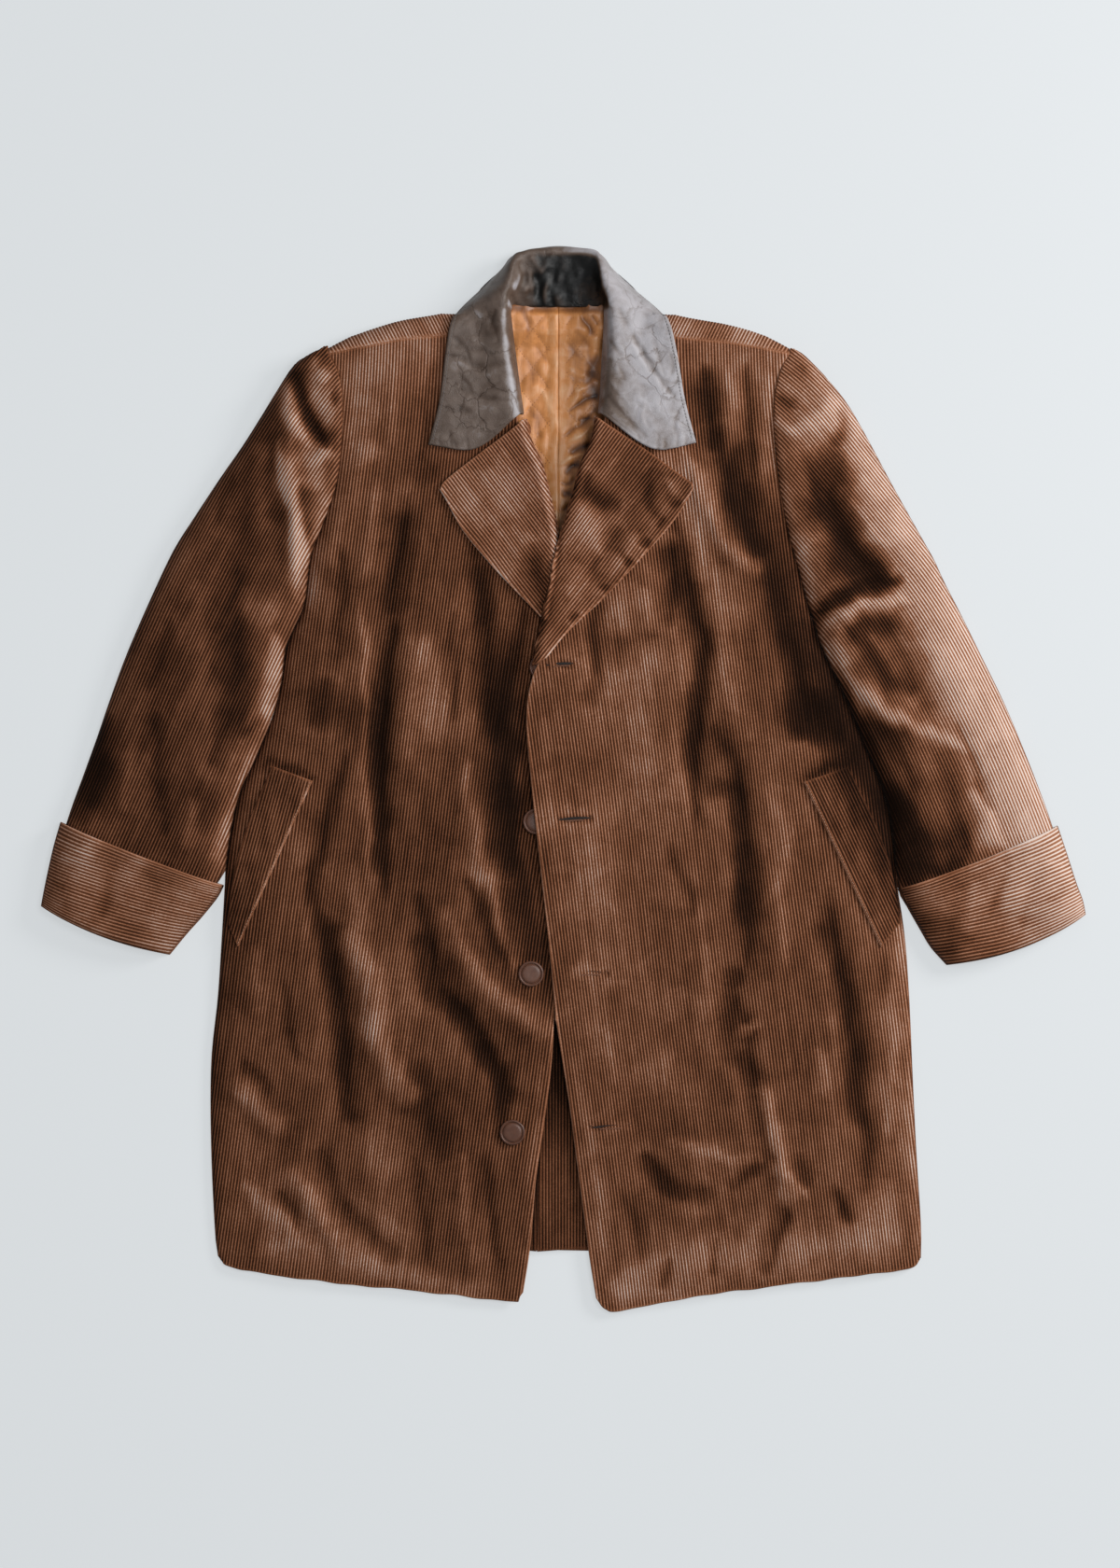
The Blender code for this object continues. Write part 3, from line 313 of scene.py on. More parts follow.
        (((-310, 158), (-312, 112), (-320, 66)), 9, 1.8, 1.3),
        (((-392, 210), (-386, 100), (-382, 0)), 19, 1.2, 0.45),
        (((-434, 70), (-432, 0), (-426, -62)), 14, -2.0, -0.8),
        (((-462, 40), (-468, -40)), 11, 1.2, 0.3),
        (((-500, 30), (-506, -34)), 12, -1.4, -0.6),
        (((-326, 42), (-342, 0), (-360, -60), (-378, -95)), 8, 0.8, 0.9),
        (((-262, 352), (-258, 300), (-264, 250)), 12, 0, 1.2),
        (((-380, 330), (-410, 250), (-440, 170)), 12, 1.0, 0.15),
        (((-352, 330), (-374, 262)), 9, -1.2, -0.3),
        (((-420, 170), (-446, 90)), 10, -1.2, -0.35),
        (((-300, 60), (-330, 56), (-346, 40)), 7, -1.2, -0.5),
        (((-398, -20), (-402, -80)), 11, 1.2, 0.3),
    ),
    "sleeve_left": (
        (((212, 388), (234, 372), (262, 374), (282, 396)), 8, 2.0, 0.9),
        (((228, 408), (246, 392)), 8, -1.8, -0.6),
        (((286, 408), (293, 362)), 10, 1.2, 0.7),
        (((232, 352), (238, 300), (246, 250)), 9, 1.0, 0.5),
        (((256, 350), (268, 312), (284, 276), (312, 238), (346, 214)), 15, -1.4, -1.5),
        (((296, 396), (300, 372), (286, 352)), 9, -1.2, -0.9),
        (((292, 350), (302, 308)), 13, 0, -0.9),
        (((262, 166), (276, 178), (302, 198), (332, 208), (366, 210)), 9, -2.6, -2.2),
        (((280, 222), (320, 226), (350, 224)), 14, -0.6, -0.8),
        (((256, 196), (262, 168), (268, 140)), 7, -2.0, -0.4),
        (((252, 268), (262, 215), (268, 170)), 10, 0, 1.5),
        (((300, 395), (298, 340), (302, 280), (306, 225), (316, 190)), 22, 0, -1.2),
        (((330, 250), (342, 190)), 20, 0, -1.1),
        (((290, 148), (306, 118)), 14, 0, 1.0),
        (((322, 72), (350, 50), (392, 52)), 16, 0, -1.2),
        (((330, -10), (352, -40), (384, -30)), 18, 0, -1.1),
        (((284, 140), (300, 100), (318, 58), (334, 16), (348, -28)), 6, -1.0, -2.0),
        (((342, -6), (357, -50), (369, -90), (378, -126)), 18, 0, -3.8),
        (((350, -50), (378, -92), (412, -98), (440, -72)), 13, 0, -2.0),
        (((362, -54), (396, -70), (436, -62)), 17, 0, -1.9),
        (((266, 142), (284, 164), (312, 181), (344, 188), (372, 186)), 7, 3.2, 1.1),
        (((306, 158), (334, 166), (362, 158)), 13, 0, -1.3),
        (((272, 156), (290, 122), (322, 86), (362, 58), (402, 44), (432, 28)), 10, 2.6, 1.7),
        (((304, 166), (320, 138), (346, 108), (376, 88)), 12, -1.8, -1.3),
        (((322, 62), (342, 10), (364, -50), (384, -92)), 20, -1.2, -1.3),
        (((404, 30), (420, -30), (430, -80)), 16, -1.2, -0.8),
        (((438, -10), (454, -56), (470, -78)), 11, 1.8, 0.9),
        (((300, 395), (330, 350), (362, 290), (392, 232)), 13, 0, 1.2),
        (((384, 190), (424, 130), (462, 50), (498, -30), (520, -80)), 26, 0, 1.9),
        (((400, 150), (430, 70), (452, 0)), 16, 1.0, 0.9),
        (((330, 330), (352, 270)), 10, -1.2, -0.4),
        (((306, 300), (330, 262), (352, 246)), 8, 1.4, 0.6),
        (((420, 60), (444, 0), (456, -40)), 8, -1.4, -0.5),
    ),
    "cuff_right": (
        (((-500, -72), (-520, -110)), 26, 0, 0.35),
        (((-440, -110), (-470, -150)), 26, 0, 0.3),
        (((-400, -140), (-430, -176)), 14, 0.8, 0.3),
        (((-548, -110), (-520, -150)), 14, 0, -0.35),
        (((-480, -90), (-492, -150)), 10, -0.8, -0.2),
    ),
    "cuff_left": (
        (((400, -140), (420, -190)), 20, -0.8, -0.7),
        (((352, -110), (366, -134), (388, -176)), 13, 0, -0.9),
        (((368, -126), (384, -150)), 9, 0.8, 0.5),
        (((470, -90), (500, -150)), 20, 0.8, 0.9),
        (((530, -60), (548, -140)), 26, 0, 2.0),
        (((440, -110), (430, -170)), 10, 0.8, 0.5),
        (((478, -80), (456, -150)), 9, -1.0, -0.5),
        (((505, -95), (490, -165)), 9, -0.8, -0.4),
    ),
    "lapel_right": (
        (((-80, 330), (-66, 270)), 46, 0, 0.7),
        (((-36, 252), (-24, 208), (-18, 176)), 16, 0, -1.5),
        (((-24, 350), (-12, 310)), 8, -1.0, -0.5),
        (((-60, 345), (-92, 318)), 12, 1.0, 0.2),
        (((-40, 262), (-48, 232)), 10, 0.9, 0.1),
        (((-22, 190), (-10, 170)), 12, 0, -0.7),
    ),
    "lapel_left": (
        (((46, 214), (62, 240)), 15, 0, 1.0),
        (((18, 325), (32, 300), (62, 288)), 14, -2.2, -1.0),
        (((16, 300), (26, 262), (46, 236)), 15, 1.8, 1.6),
        (((96, 332), (90, 298), (104, 276)), 9, -1.5, -0.6),
        (((110, 322), (116, 300)), 8, 1.2, 0.4),
        (((82, 262), (66, 236)), 9, 1.3, 0.5),
        (((62, 268), (42, 236), (28, 206)), 9, -1.2, -0.5),
        (((14, 232), (4, 190)), 10, 1.0, 0.5),
        (((-16, 200), (-24, 150)), 9, 0, -0.8),
        (((110, 278), (101, 266)), 5, -1.4, -0.5),
        (((94, 256), (85, 245)), 5, -1.4, -0.5),
        (((74, 234), (65, 224)), 5, -1.3, -0.5),
        (((46, 206), (38, 197)), 5, -1.3, -0.5),
        (((16, 174), (9, 166)), 4, -1.2, -0.5),
        (((124, 296), (114, 286)), 4, -1.2, -0.4),
    ),
}

SLEEVE = {
    "right": (
        (460.8, -251.6, -253.6, 460.8, 33, 32, 0),
        (459, -251.4, -260, 458.6, 34, 33.5, 0),
        (456, -251.2, -267, 455.4, 34.5, 34, 0),
        (451, None, -275, 451.5, 35, 34, 0),
        (428, None, -289, 442, 37, 35, 0),
        (393, None, -306, 416, 38, 34, 0),
        (353, None, -325, 385, 37, 31, 0),
        (312, None, -344, 355, 35, 26, 0),
        (270, None, -367, 322, 33, 20, 0),
        (225, None, -396, 278, 31, 12, 0),
        (186, None, -418, 243, 30, 5, 0),
        (139, None, -443, 190, 29, 0, 0),
        (67, None, -468, 132, 28, 0, 0),
        (20, None, -486, 83, 28, 0, 0),
        (-20, None, -500, 42, 27, 0, 0),
        (-60, None, -514, 3, 26, 0, 1),
        (-97, None, -527, -33, 26, 0, 3),
        (-125, -379, -536, -62, 25, 0, 3),
        (-150, -397, -543, -90, 24, 0, 3),
        (-170, -414, -548, -113, 23, 0, 3),
    ),
    "left": (
        (458.3, 243.7, 245.7, 458.3, 33, 32, 0),
        (456.5, 243.4, 251.5, 456.2, 34, 33.5, 0),
        (453.5, 243.2, 257.6, 453.2, 34.5, 34, 0),
        (450, None, 262, 450, 35, 34, 0),
        (430, None, 281.5, 430, 37, 35, 0),
        (393, None, 304.5, 402, 38, 34, 0),
        (353, None, 326, 365, 37, 31, 0),
        (308, None, 350, 320, 35, 26, 0),
        (259, None, 371, 282, 33, 20, 0),
        (213, None, 389, 250, 31, 12, 0),
        (190, None, 398, 234, 30, 6, 0),
        (147, None, 410, 208, 29, 0, 0),
        (118, None, 427, 175, 29, 0, 0),
        (78, None, 449, 130, 28, 0, 0),
        (34, None, 472, 83, 28, 0, 0),
        (-13, None, 491, 38, 27, 0, 0),
        (-52, None, 505, 3, 26, 0, 1),
        (-92, None, 519, -35, 26, 0, 3),
        (-125, 361.5, 529, -65, 25, 0, 3),
        (-152, 380, 539, -95, 24, 0, 3),
        (-180, 398, 548, -122, 23, 0, 3),
    ),
}
SLEEVE_ROUND = 48.0
CUFF = {
    "right": ((-364, -116, -539, -48, 2), (-371, -129, -546, -72, 2), (-387, -149, -552, -98, 3),
              (-404, -168, -557, -122, 5), (-422, -190, -560, -138, 7)),
    "left": ((360, -120, 531, -52, 3), (371, -141, 542, -85, 4), (383, -162, 551, -113, 6),
             (395, -182, 558, -132, 8), (412, -201, 561, -147, 10)),
}
CUFF_HEIGHT, CUFF_TAPER = 33.0, 0.86

LAPEL = {
    "right": {
        "outer": ((-24, 172), (-59, 208), (-81, 232), (-107, 264), (-124, 295), (-131, 307)),
        "top": ((-131, 307), (-125, 317), (-91, 344), (-64, 364), (-38, 384)),
        "roll": ((-14, 168), (-9, 200), (-4, 232), (-4, 262), (-13, 305), (-22, 338), (-33, 362), (-38, 384)),
    },
    "left": {
        "outer": ((-17, 128), (6, 156), (45, 193), (91, 242), (119, 275), (136, 303), (138, 310)),
        "top": ((138, 310), (134, 316), (93, 346), (63, 366), (34, 385)),
        "roll": ((-33, 119), (-27, 150), (-20, 186), (-13, 214), (-3, 260), (10, 305), (18, 335), (29, 360),
                 (34, 385)),
    },
}
ROLL_RADIUS, ROLL_POWER, ROLL_LOW = 10.0, 2.2, 13.0
ROLL_RISE, ROLL_RISE_WIDTH = 5.0, 32.0

COLLAR = (
    ((-41, 389, 17), (-49, 385, 40), (-93, 351, None), (-143, 355, None)),
    ((-44, 410, 17), (-53, 406, 41), (-91, 392, None), (-131, 403, None)),
    ((-49, 448, 17), (-59, 448, 43), (-92, 447, None), (-125, 450, None)),
    ((-53, 480, 18), (-63, 482, 45), (-92, 485, None), (-119, 484, None)),
    ((-55, 503, 17), (-61, 512, 44), (-88, 507, 38), (-112, 499, 24)),
    ((-48, 504, 15), (-56, 530, 42), (-74, 528, 27), (-91, 522, 0)),
    ((-39, 504, 14), (-51, 549, 34), (-62, 547, 20), (-68, 544, 0)),
    ((-27, 504, 13), (-41, 558, 26), (-48, 561, 15), (-50, 562, 0)),
    ((-5, 504, 13), (-5, 561, 21), (-5, 568, 13), (-5, 571, 0)),
    ((19, 504, 13), (30, 559, 26), (36, 562, 15), (38, 563, 0)),
    ((30, 504, 14), (38, 549, 34), (48, 548, 20), (55, 545, 0)),
    ((37, 504, 15), (43, 530, 42), (62, 528, 27), (80, 522, 0)),
    ((43, 503, 17), (49, 512, 44), (76, 507, 38), (105, 498, 24)),
    ((43, 480, 18), (53, 482, 45), (85, 484, None), (114, 483, None)),
    ((41, 448, 17), (51, 448, 43), (86, 446, None), (122, 449, None)),
    ((39, 410, 17), (48, 406, 41), (86, 392, None), (130, 403, None)),
    ((37, 390, 17), (45, 385, 40), (95, 351, None), (142, 357, None)),
)
COLLAR_CLEAR = 1.2
COLLAR_SEAM, COLLAR_SEAM_DEEP = 3.2, 0.45  # the row of stitches: its distance from the edge, its groove
# The leaves' tones, the wearer's right then left: painted light, the left leaf lighter as it faces the light.
LEAF_TONE = (0.53, 0.94)
# Creases of the leather. Columns: route as (x, y) points, width, height.
COLLAR_FOLDS = (
    (((-123, 452), (-90, 440), (-52, 442)), 3.0, -1.6),
    (((-120, 446), (-88, 432)), 3.5, 0.9),
    (((-110, 414), (-80, 404), (-57, 402)), 2.6, -1.3),
    (((-83, 503), (-67, 460)), 3.0, -1.0),
    (((-100, 470), (-84, 462), (-70, 466)), 3.0, 0.8),
    (((-118, 400), (-96, 384), (-80, 382)), 3.0, -0.9),
    (((-95, 500), (-84, 484)), 3.0, 0.7),
    (((73, 474), (95, 435), (123, 402)), 3.2, -1.8),
    (((70, 468), (90, 430)), 3.2, 1.0),
    (((38, 419), (63, 387), (91, 361)), 3.4, -1.5),
    (((48, 424), (74, 396)), 3.2, 0.9),
    (((96, 470), (104, 440), (112, 424)), 3.0, -1.0),
    (((60, 500), (70, 478)), 3.0, -0.8),
    (((76, 408), (92, 396), (112, 396)), 3.0, 0.9),
    (((58, 440), (66, 424)), 2.6, -0.8),
    (((100, 438), (88, 448), (84, 462)), 2.2, -1.2),
    (((112, 420), (118, 436), (114, 452)), 2.2, -1.0),
    (((104, 425), (116, 420), (128, 424)), 2.0, -1.0),
    (((60, 380), (74, 372), (82, 360)), 2.0, -1.0),
    (((124, 392), (118, 376), (122, 362)), 2.2, -1.2),
    (((88, 400), (84, 384), (90, 370)), 2.2, 1.1),
    (((46, 470), (60, 452), (72, 448)), 2.4, -1.0),
    (((-120, 470), (-104, 456), (-96, 440)), 2.2, -1.1),
    (((-104, 456), (-88, 458), (-72, 450)), 2.0, -0.9),
    (((-112, 432), (-100, 418), (-96, 404)), 2.2, -1.0),
    (((-128, 396), (-112, 388), (-98, 392)), 2.0, -1.0),
    (((-84, 430), (-76, 416), (-62, 412)), 2.0, -1.0),
    (((-70, 500), (-80, 478)), 2.2, -0.9),
)
# Gathers at the foot of each leaf: x of each small crease's foot, and its length.
COLLAR_GATHERS = ((-131, 7), (-119, 13), (-114, 6), (-101, 9), (101, 14), (108, 7), (122, 16), (131, 6))

WELT = {
    "right": ((-358, -160), (-311, 12), (-268, -4), (-348, -181)),
    "left": ((341, -182), (258, -5), (305, 11), (361, -156)),
}
WELT_CLEAR, WELT_BOW = 0.5, 11.0
WELT_SEAM = 1.6  # the stitches' distance from its inner edge
WELT_SHADE = {"right": 0.4, "left": 1.6}  # along its outer side
LINING = ((190, -40, 28), (300, -46, 36), (400, -52, 40), (470, -50, 39), (502, -46, 34))
LINING_WALL, LINING_TOP, LINING_RAISE = 2.5, 501.0, 7.4
QUILT_WIDTH, QUILT_LENGTH, QUILT_RISE, QUILT_POWER = 32.0, 40.0, 4.0, 0.6
QUILT_SHARE = 0.3  # the padding's rise once the satin is drawn over it
# Wrinkles of the satin, whose tone is painted shade in their troughs and painted light on their ridges.
# Columns: route as (x, y) points, width, height, tone.
LINING_FOLDS = (
    (((18, 493), (28, 482), (36, 472)), 3.0, -1.2, -0.20),
    (((30, 496), (38, 484)), 2.4, -1.0, -0.16),
    (((10, 478), (20, 474), (30, 462)), 2.6, -0.8, -0.08),
    (((37, 456), (31, 430), (36, 404)), 7.0, -1.6, -0.34),
    (((6, 392), (20, 402), (38, 412)), 2.8, -1.7, -0.26),
    (((12, 412), (24, 417), (38, 428)), 3.4, 1.3, 0.12),
    (((16, 384), (28, 386), (40, 382)), 2.2, -1.3, -0.2),
    (((0, 366), (18, 378), (36, 396)), 2.4, -1.4, -0.18),
    (((6, 360), (18, 366), (32, 380)), 3.0, 1.3, 0.12),
    (((8, 346), (18, 353), (34, 358)), 4.4, -1.9, -0.36),
    (((-2, 336), (10, 343), (24, 346)), 2.4, 1.2, 0.1),
    (((2, 326), (10, 334), (22, 330)), 3.8, -1.7, -0.38),
    (((-4, 318), (4, 316), (14, 322)), 2.2, -1.1, -0.2),
    (((0, 300), (4, 306), (12, 304)), 3.6, -1.5, -0.36),
    (((-5, 287), (1, 288), (8, 296)), 2.4, -1.2, -0.28),
    (((-43, 500), (-37, 485), (-39, 470)), 3.7, -0.8, -0.12),
    (((-46, 452), (-36, 440), (-33, 420)), 4.4, -0.7, -0.1),
    (((-31, 466), (-22, 452), (-13, 446)), 3.9, -0.7, -0.09),
    (((-38, 398), (-28, 384), (-24, 362)), 4.4, -0.8, -0.11),
    (((-24, 420), (-16, 405), (-12, 388)), 4.4, 0.7, 0.06),
    (((-30, 352), (-24, 330), (-20, 305)), 4.4, -0.9, -0.15),
    (((2, 470), (14, 455), (24, 448)), 3.9, -0.8, -0.12),
    (((6, 440), (16, 432), (30, 430)), 3.5, 0.8, 0.07),
)
PLEAT_RISE, PLEAT_FROM, PLEAT_TO = 2.6, 2.0, 16.0
QUILTED_FROM, QUILTED_TO = 280.0, 496.0  # the stretch of quilting whose stitches show
VENT_FACING = {
    "right": ((-62, -505), (-28.7, -508.3), (-22.5, -300), (-52, -300)),
    "left": ((-27.5, -508.6), (62, -502), (52, -262), (-19.5, -262)),
}
FACING_WALL = 2.0

BUTTONS = ((-54, -380), (-34, -210), (-29, -47), (-22, 118))
BUTTON_RADIUS = 13.7
HIDDEN_LIFT, HIDDEN_REACH = 7.5, 40.0  # how the upper front swells over the buttons under it
# Buttonholes. Columns: inner end x, y and outer end x, y.
BUTTONHOLES = ((-18, 120, 16, 122), (-5, -45, 31, -43), (11.5, -209, 49, -209), (29, -375, 73, -373))

# The lower front dips under the upper one's edge, and the upper one lifts there.
DIP, DIP_BEFORE, DIP_PAST = 3.6, 22.0, 4.0
DIP_LOW, DIP_HIGH = (-300, -235), (420, 470)
LIFT, LIFT_NEAR, LIFT_FAR = 1.6, 50.0, 110.0
LIFT_LOW = (-330, -250)

# How far the wales lean, in degrees; + leans to the wearer's left going up. Columns: y, lean.
LEAN = {
    "front_right": ((-600, 8), (330, 8), (400, 5), (470, 1)),
    "front_left": ((-600, -7.5), (330, -7.5), (400, -4), (470, -1)),
    "sleeve_right": (
        (-200, 26), (-90, 25), (30, 22), (90, 23), (150, 25), (270, 29), (330, 33), (390, 37), (460, 52),
    ),
    "sleeve_left": (
        (-200, -22), (-60, -22), (30, -25), (100, -27), (150, -33), (190, -40), (320, -41), (345, -46),
        (375, -55), (420, -60),
    ),
}
# A point on the wale that each of those tables describes.
LEAN_START = {
    "front_right": (-190, 0), "front_left": (190, 0), "sleeve_right": (-380, 130), "sleeve_left": (365, 140),
}

# Waves of a face, and how far its wales wander. Columns: height or distance, seed, size across the wales and
# along them, lean in degrees.
UNEVEN = {
    "front_right": (0.7, 11, 55, 210, 8), "front_left": (0.7, 12, 55, 210, -7.5),
    "sleeve_right": (0.6, 31, 50, 150, 25), "sleeve_left": (0.6, 32, 50, 150, -33),
    "cuff_right": (0.6, 41, 60, 45), "cuff_left": (0.6, 42, 60, 45),
}
WANDER = {
    "front": (0.9, 5, 160, 400), "sleeve": (0.7, 6, 120, 260), "cuff": (0.5, 7, 70, 70),
    "lapel": (0.6, 8, 90, 90),
}
HEM_WAVE, HEM_STILL = (1.1, 9, 45, 900), (0.04, 0.1)  # and the shares of the hem over which it begins
BACK_PATCHES, WELT_PATCHES, FACING_WAVE = (0.5, 21, 60, 120), (0.3, 61, 20, 60), (0.25, 71, 30, 120)
COLLAR_CRUMPLE = ((1.3, 51, 16, 34), (0.8, 52, 9, 14))
COLLAR_FINE = ((0.35, 53, 22, 30), (0.22, 54, 10, 12))

COLOURS = {
    "button": (0.058, 0.022, 0.012, 1),
    "button_rim": (0.085, 0.034, 0.019, 1),
    "thread": (0.12, 0.05, 0.028, 1),
    "thread_high": (0.20, 0.078, 0.038, 1),
    "light_thread": (0.24, 0.12, 0.07, 1),
    "light_thread_high": (0.36, 0.20, 0.13, 1),
    "satin_thread": (0.17, 0.06, 0.018, 1),
    "satin_thread_high": (0.30, 0.12, 0.04, 1),
    "leather_thread": (0.05, 0.042, 0.038, 1),
    "leather_thread_high": (0.12, 0.105, 0.10, 1),
    # A buttonhole's slit: a dark sheet for painted shade in its mouth.
    "slit": (0.004, 0.0022, 0.0016, 1),
    "slit_edge": (0.012, 0.0065, 0.0045, 1),
}


# ---------------------------------------------------------------- form


def smooth(x, low, high):
    s = np.clip((x - low) / (high - low), 0, 1)
    return s * s * (3 - 2 * s)


def rounded(distance, width, power=ROUND_POWER):
    s = np.clip(distance / width, 0, 1)
    return (1 - (1 - s) ** power) ** (1 / power)


def curve(points, per_span=8):
    """A Catmull-Rom curve through the points, as many dense points."""
    p = np.asarray(points, float)
    p = np.vstack([2 * p[0] - p[1], p, 2 * p[-1] - p[-2]])
    t = np.linspace(0, 1, per_span, endpoint=False)[:, None]
    spans = [
        0.5 * (2 * b + (c - a) * t + (2 * a - 5 * b + 4 * c - d) * t**2 + (3 * b - a - 3 * c + d) * t**3)
        for a, b, c, d in zip(p, p[1:], p[2:], p[3:])
    ]
    return np.vstack(spans + [p[-2:-1]])


def at_shares(points, shares, per_span=8):
    """Points on a curve at these shares of its length."""
    dense = curve(points, per_span)
    length = np.concatenate([[0], np.cumsum(np.linalg.norm(np.diff(dense, axis=0), axis=1))])
    where = np.asarray(shares) * length[-1]
    return np.stack([np.interp(where, length, dense[:, k]) for k in range(dense.shape[1])], axis=1)


def read(table, at, column=1):
    return np.interp(at, [row[0] for row in table], [row[column] for row in table])


def read_smooth(table, at):
    dense = curve(table)
    return np.interp(at, dense[:, 0], dense[:, 1])


def x_at(outline, y):
    dense = curve(outline)
    return np.interp(y, dense[:, 1], dense[:, 0])


def patch(bottom, top, left, right, u, v):
    """A Coons patch at shares u across and v up."""
    v = v[:, None, None]
    u = u[None, :, None]
    ruled = (1 - v) * bottom[None] + v * top[None] + (1 - u) * left[:, None] + u * right[:, None]
    corners = (1 - v) * ((1 - u) * bottom[0] + u * bottom[-1]) + v * ((1 - u) * top[0] + u * top[-1])
    return ruled - corners


def four_sided(corners, u, v):
    """A flat patch over four corners, given in turn round it."""
    a, b, c, d = (np.asarray(p, float) for p in corners)
    bottom, top = a + (d - a) * u[:, None], b + (c - b) * u[:, None]
    left, right = a + (b - a) * v[:, None], d + (c - d) * v[:, None]
    return patch(bottom, top, left, right, u, v)


def raised(xy, height):
    """Points over a grid in the plan, at these heights."""
    return np.concatenate([xy, np.broadcast_to(height, xy.shape[:-1])[..., None]], axis=-1)


def nearest_on(line, points):
    """Each point's distance from a line of points, and its share of the way along it there."""
    length = np.linalg.norm(np.diff(line, axis=0), axis=1)
    start = np.concatenate([[0], length.cumsum()])
    nearest, share = np.full(len(points), np.inf), np.zeros(len(points))
    for k, (a, b) in enumerate(zip(line, line[1:])):
        along = np.clip(((points - a) @ (b - a)) / ((b - a) @ (b - a)), 0, 1)
        away = np.linalg.norm(points - a - along[:, None] * (b - a), axis=-1)
        closer = away < nearest
        nearest[closer] = away[closer]
        share[closer] = (start[k] + along[closer] * length[k]) / start[-1]
    return nearest, share


def bell(distance, width):
    """1 in the middle, about a third at one width from it and almost nothing at two."""
    return np.exp(-((distance / width) ** 2))


def in_reach(points, line, reach):
    """Which points are inside the box round a line of points, or this near to it."""
    return np.all((points > line.min(axis=0) - reach) & (points < line.max(axis=0) + reach), axis=1)


def fold_height(table, xy):
    """The sum of a table's folds at each point, as in the solids."""
    flat = xy.reshape(-1, 2)
    total = np.zeros(len(flat))
    for route, width, height in table:
        line = curve(route, 5)
        near = in_reach(flat, line, 3 * width)
        total[near] += height * bell(nearest_on(line, flat[near])[0], width)
    return total.reshape(xy.shape[:-1])


STROKE_POWER, STROKE_GAIN, STROKE_WANDER = 1.6, 1.15, 2.2


def strokes(table, xy, wander=STROKE_WANDER):
    """Height and tone of a table's strokes at each point: sharp in the middle, thin at both ends."""
    bent = xy + wander * np.stack([ripple(xy, 91, 26, 60), ripple(xy, 92, 30, 50)], axis=-1)
    flat = bent.reshape(-1, 2)
    total = np.zeros((len(flat), 2))
    for route, width, *amounts in table:
        line = curve(route, 5)
        near = in_reach(flat, line, 3.5 * width)
        away, share = nearest_on(line, flat[near])
        full = (1 - np.abs(2 * share - 1) ** 2.4) ** 0.6
        strength = STROKE_GAIN * full * np.exp(-((away / (width * (0.4 + 0.6 * full))) ** STROKE_POWER))
        for k, amount in enumerate(amounts):
            total[near, k] += amount * strength
    total = total.reshape(*xy.shape[:-1], 2)
    return total[..., 0], total[..., 1]


def from_sides(xy):
    x, y = xy[..., 0], xy[..., 1]
    return np.maximum(np.minimum(x - x_at(SIDE["right"], y), x_at(SIDE["left"], y) - x), 0)


def body_height(xy):
    x, y = xy[..., 0], xy[..., 1]
    low = read(SIDE_HEIGHT, y)
    crown = read_smooth(CROWN, y)
    neck = 1 - NECK_DROP * bell(x - CENTRE_X, NECK_WIDTH) * smooth(y, *NECK_STRETCH)
    return (low + (crown - low) * rounded(from_sides(xy), ROUND_WIDTH)) * neck


def ripple(xy, seed, across, along, lean=0.0):
    """A soft, uneven wave field of about -1 to 1, longer along the wales than across them."""
    a = math.radians(lean)
    x = xy[..., 0] * math.cos(a) - xy[..., 1] * math.sin(a)
    y = xy[..., 0] * math.sin(a) + xy[..., 1] * math.cos(a)
    rng = np.random.default_rng(seed)
    total = np.zeros(x.shape)
    for _ in range(9):
        turn = rng.uniform(0, 2 * math.pi)
        phase = rng.uniform(0, 2 * math.pi)
        size = rng.uniform(0.7, 1.6)
        wave = math.cos(turn) * x / across + math.sin(turn) * y / along
        total += np.sin(2 * math.pi * wave / size + phase)
    return total / 3.4


def waves(xy, *rows):
    """The sum of rows of height and ripple, as in the table of waves."""
    return sum(height * ripple(xy, *wave) for height, *wave in rows)


def front_folds(side, xy):
    name = f"front_{side}"
    folds = fold_height(FOLDS[side], xy) + strokes(STROKES[name], xy)[0] + waves(xy, UNEVEN[name])
    return folds * rounded(from_sides(xy), FOLD_FADE)


def front_height(side, xy):
    x, y = xy[..., 0], xy[..., 1]
    upper_edge = x_at(EDGE["left"], y)
    height = body_height(xy) + front_folds(side, xy)
    if side == "right":
        under = smooth(x, upper_edge - DIP_BEFORE, upper_edge + DIP_PAST)
        return height - DIP * under * smooth(y, *DIP_LOW) * (1 - smooth(y, *DIP_HIGH))
    lift = LIFT * (1 - smooth(x, upper_edge + LIFT_NEAR, upper_edge + LIFT_FAR)) * smooth(y, *LIFT_LOW)
    for button_x, button_y in BUTTONS[2:]:
        lift = lift + HIDDEN_LIFT * np.exp(-((x - button_x) ** 2 + (y - button_y) ** 2) / HIDDEN_REACH**2)
    return height + lift


def over(height, rest, ease=1.5):
    """The higher of two heights, with a soft change between them."""
    return (height + rest + np.sqrt((height - rest) ** 2 + ease**2)) / 2


def left_front_top(xy):
    """The upper front's outer face, clear of the lower front where they overlap."""
    lower_edge = x_at(EDGE["right"], xy[..., 1])
    lower = front_height("right", xy) + LAYER + WALL
    lower = np.where(xy[..., 0] < lower_edge + 3, lower, -100)
    return over(front_height("left", xy), lower)


def front_top(side, xy):
    return front_height("right", xy) if side == "right" else left_front_top(xy)


# ---------------------------------------------------------------- cloth


def surface_normals(grid, facing):
    along, across = np.gradient(grid, axis=0), np.gradient(grid, axis=1)
    n = np.cross(across, along)
    n /= np.maximum(np.linalg.norm(n, axis=-1, keepdims=True), 1e-9)
    middle = n[len(n) // 3, n.shape[1] // 2, 2]
    return n if middle * facing > 0 else -n


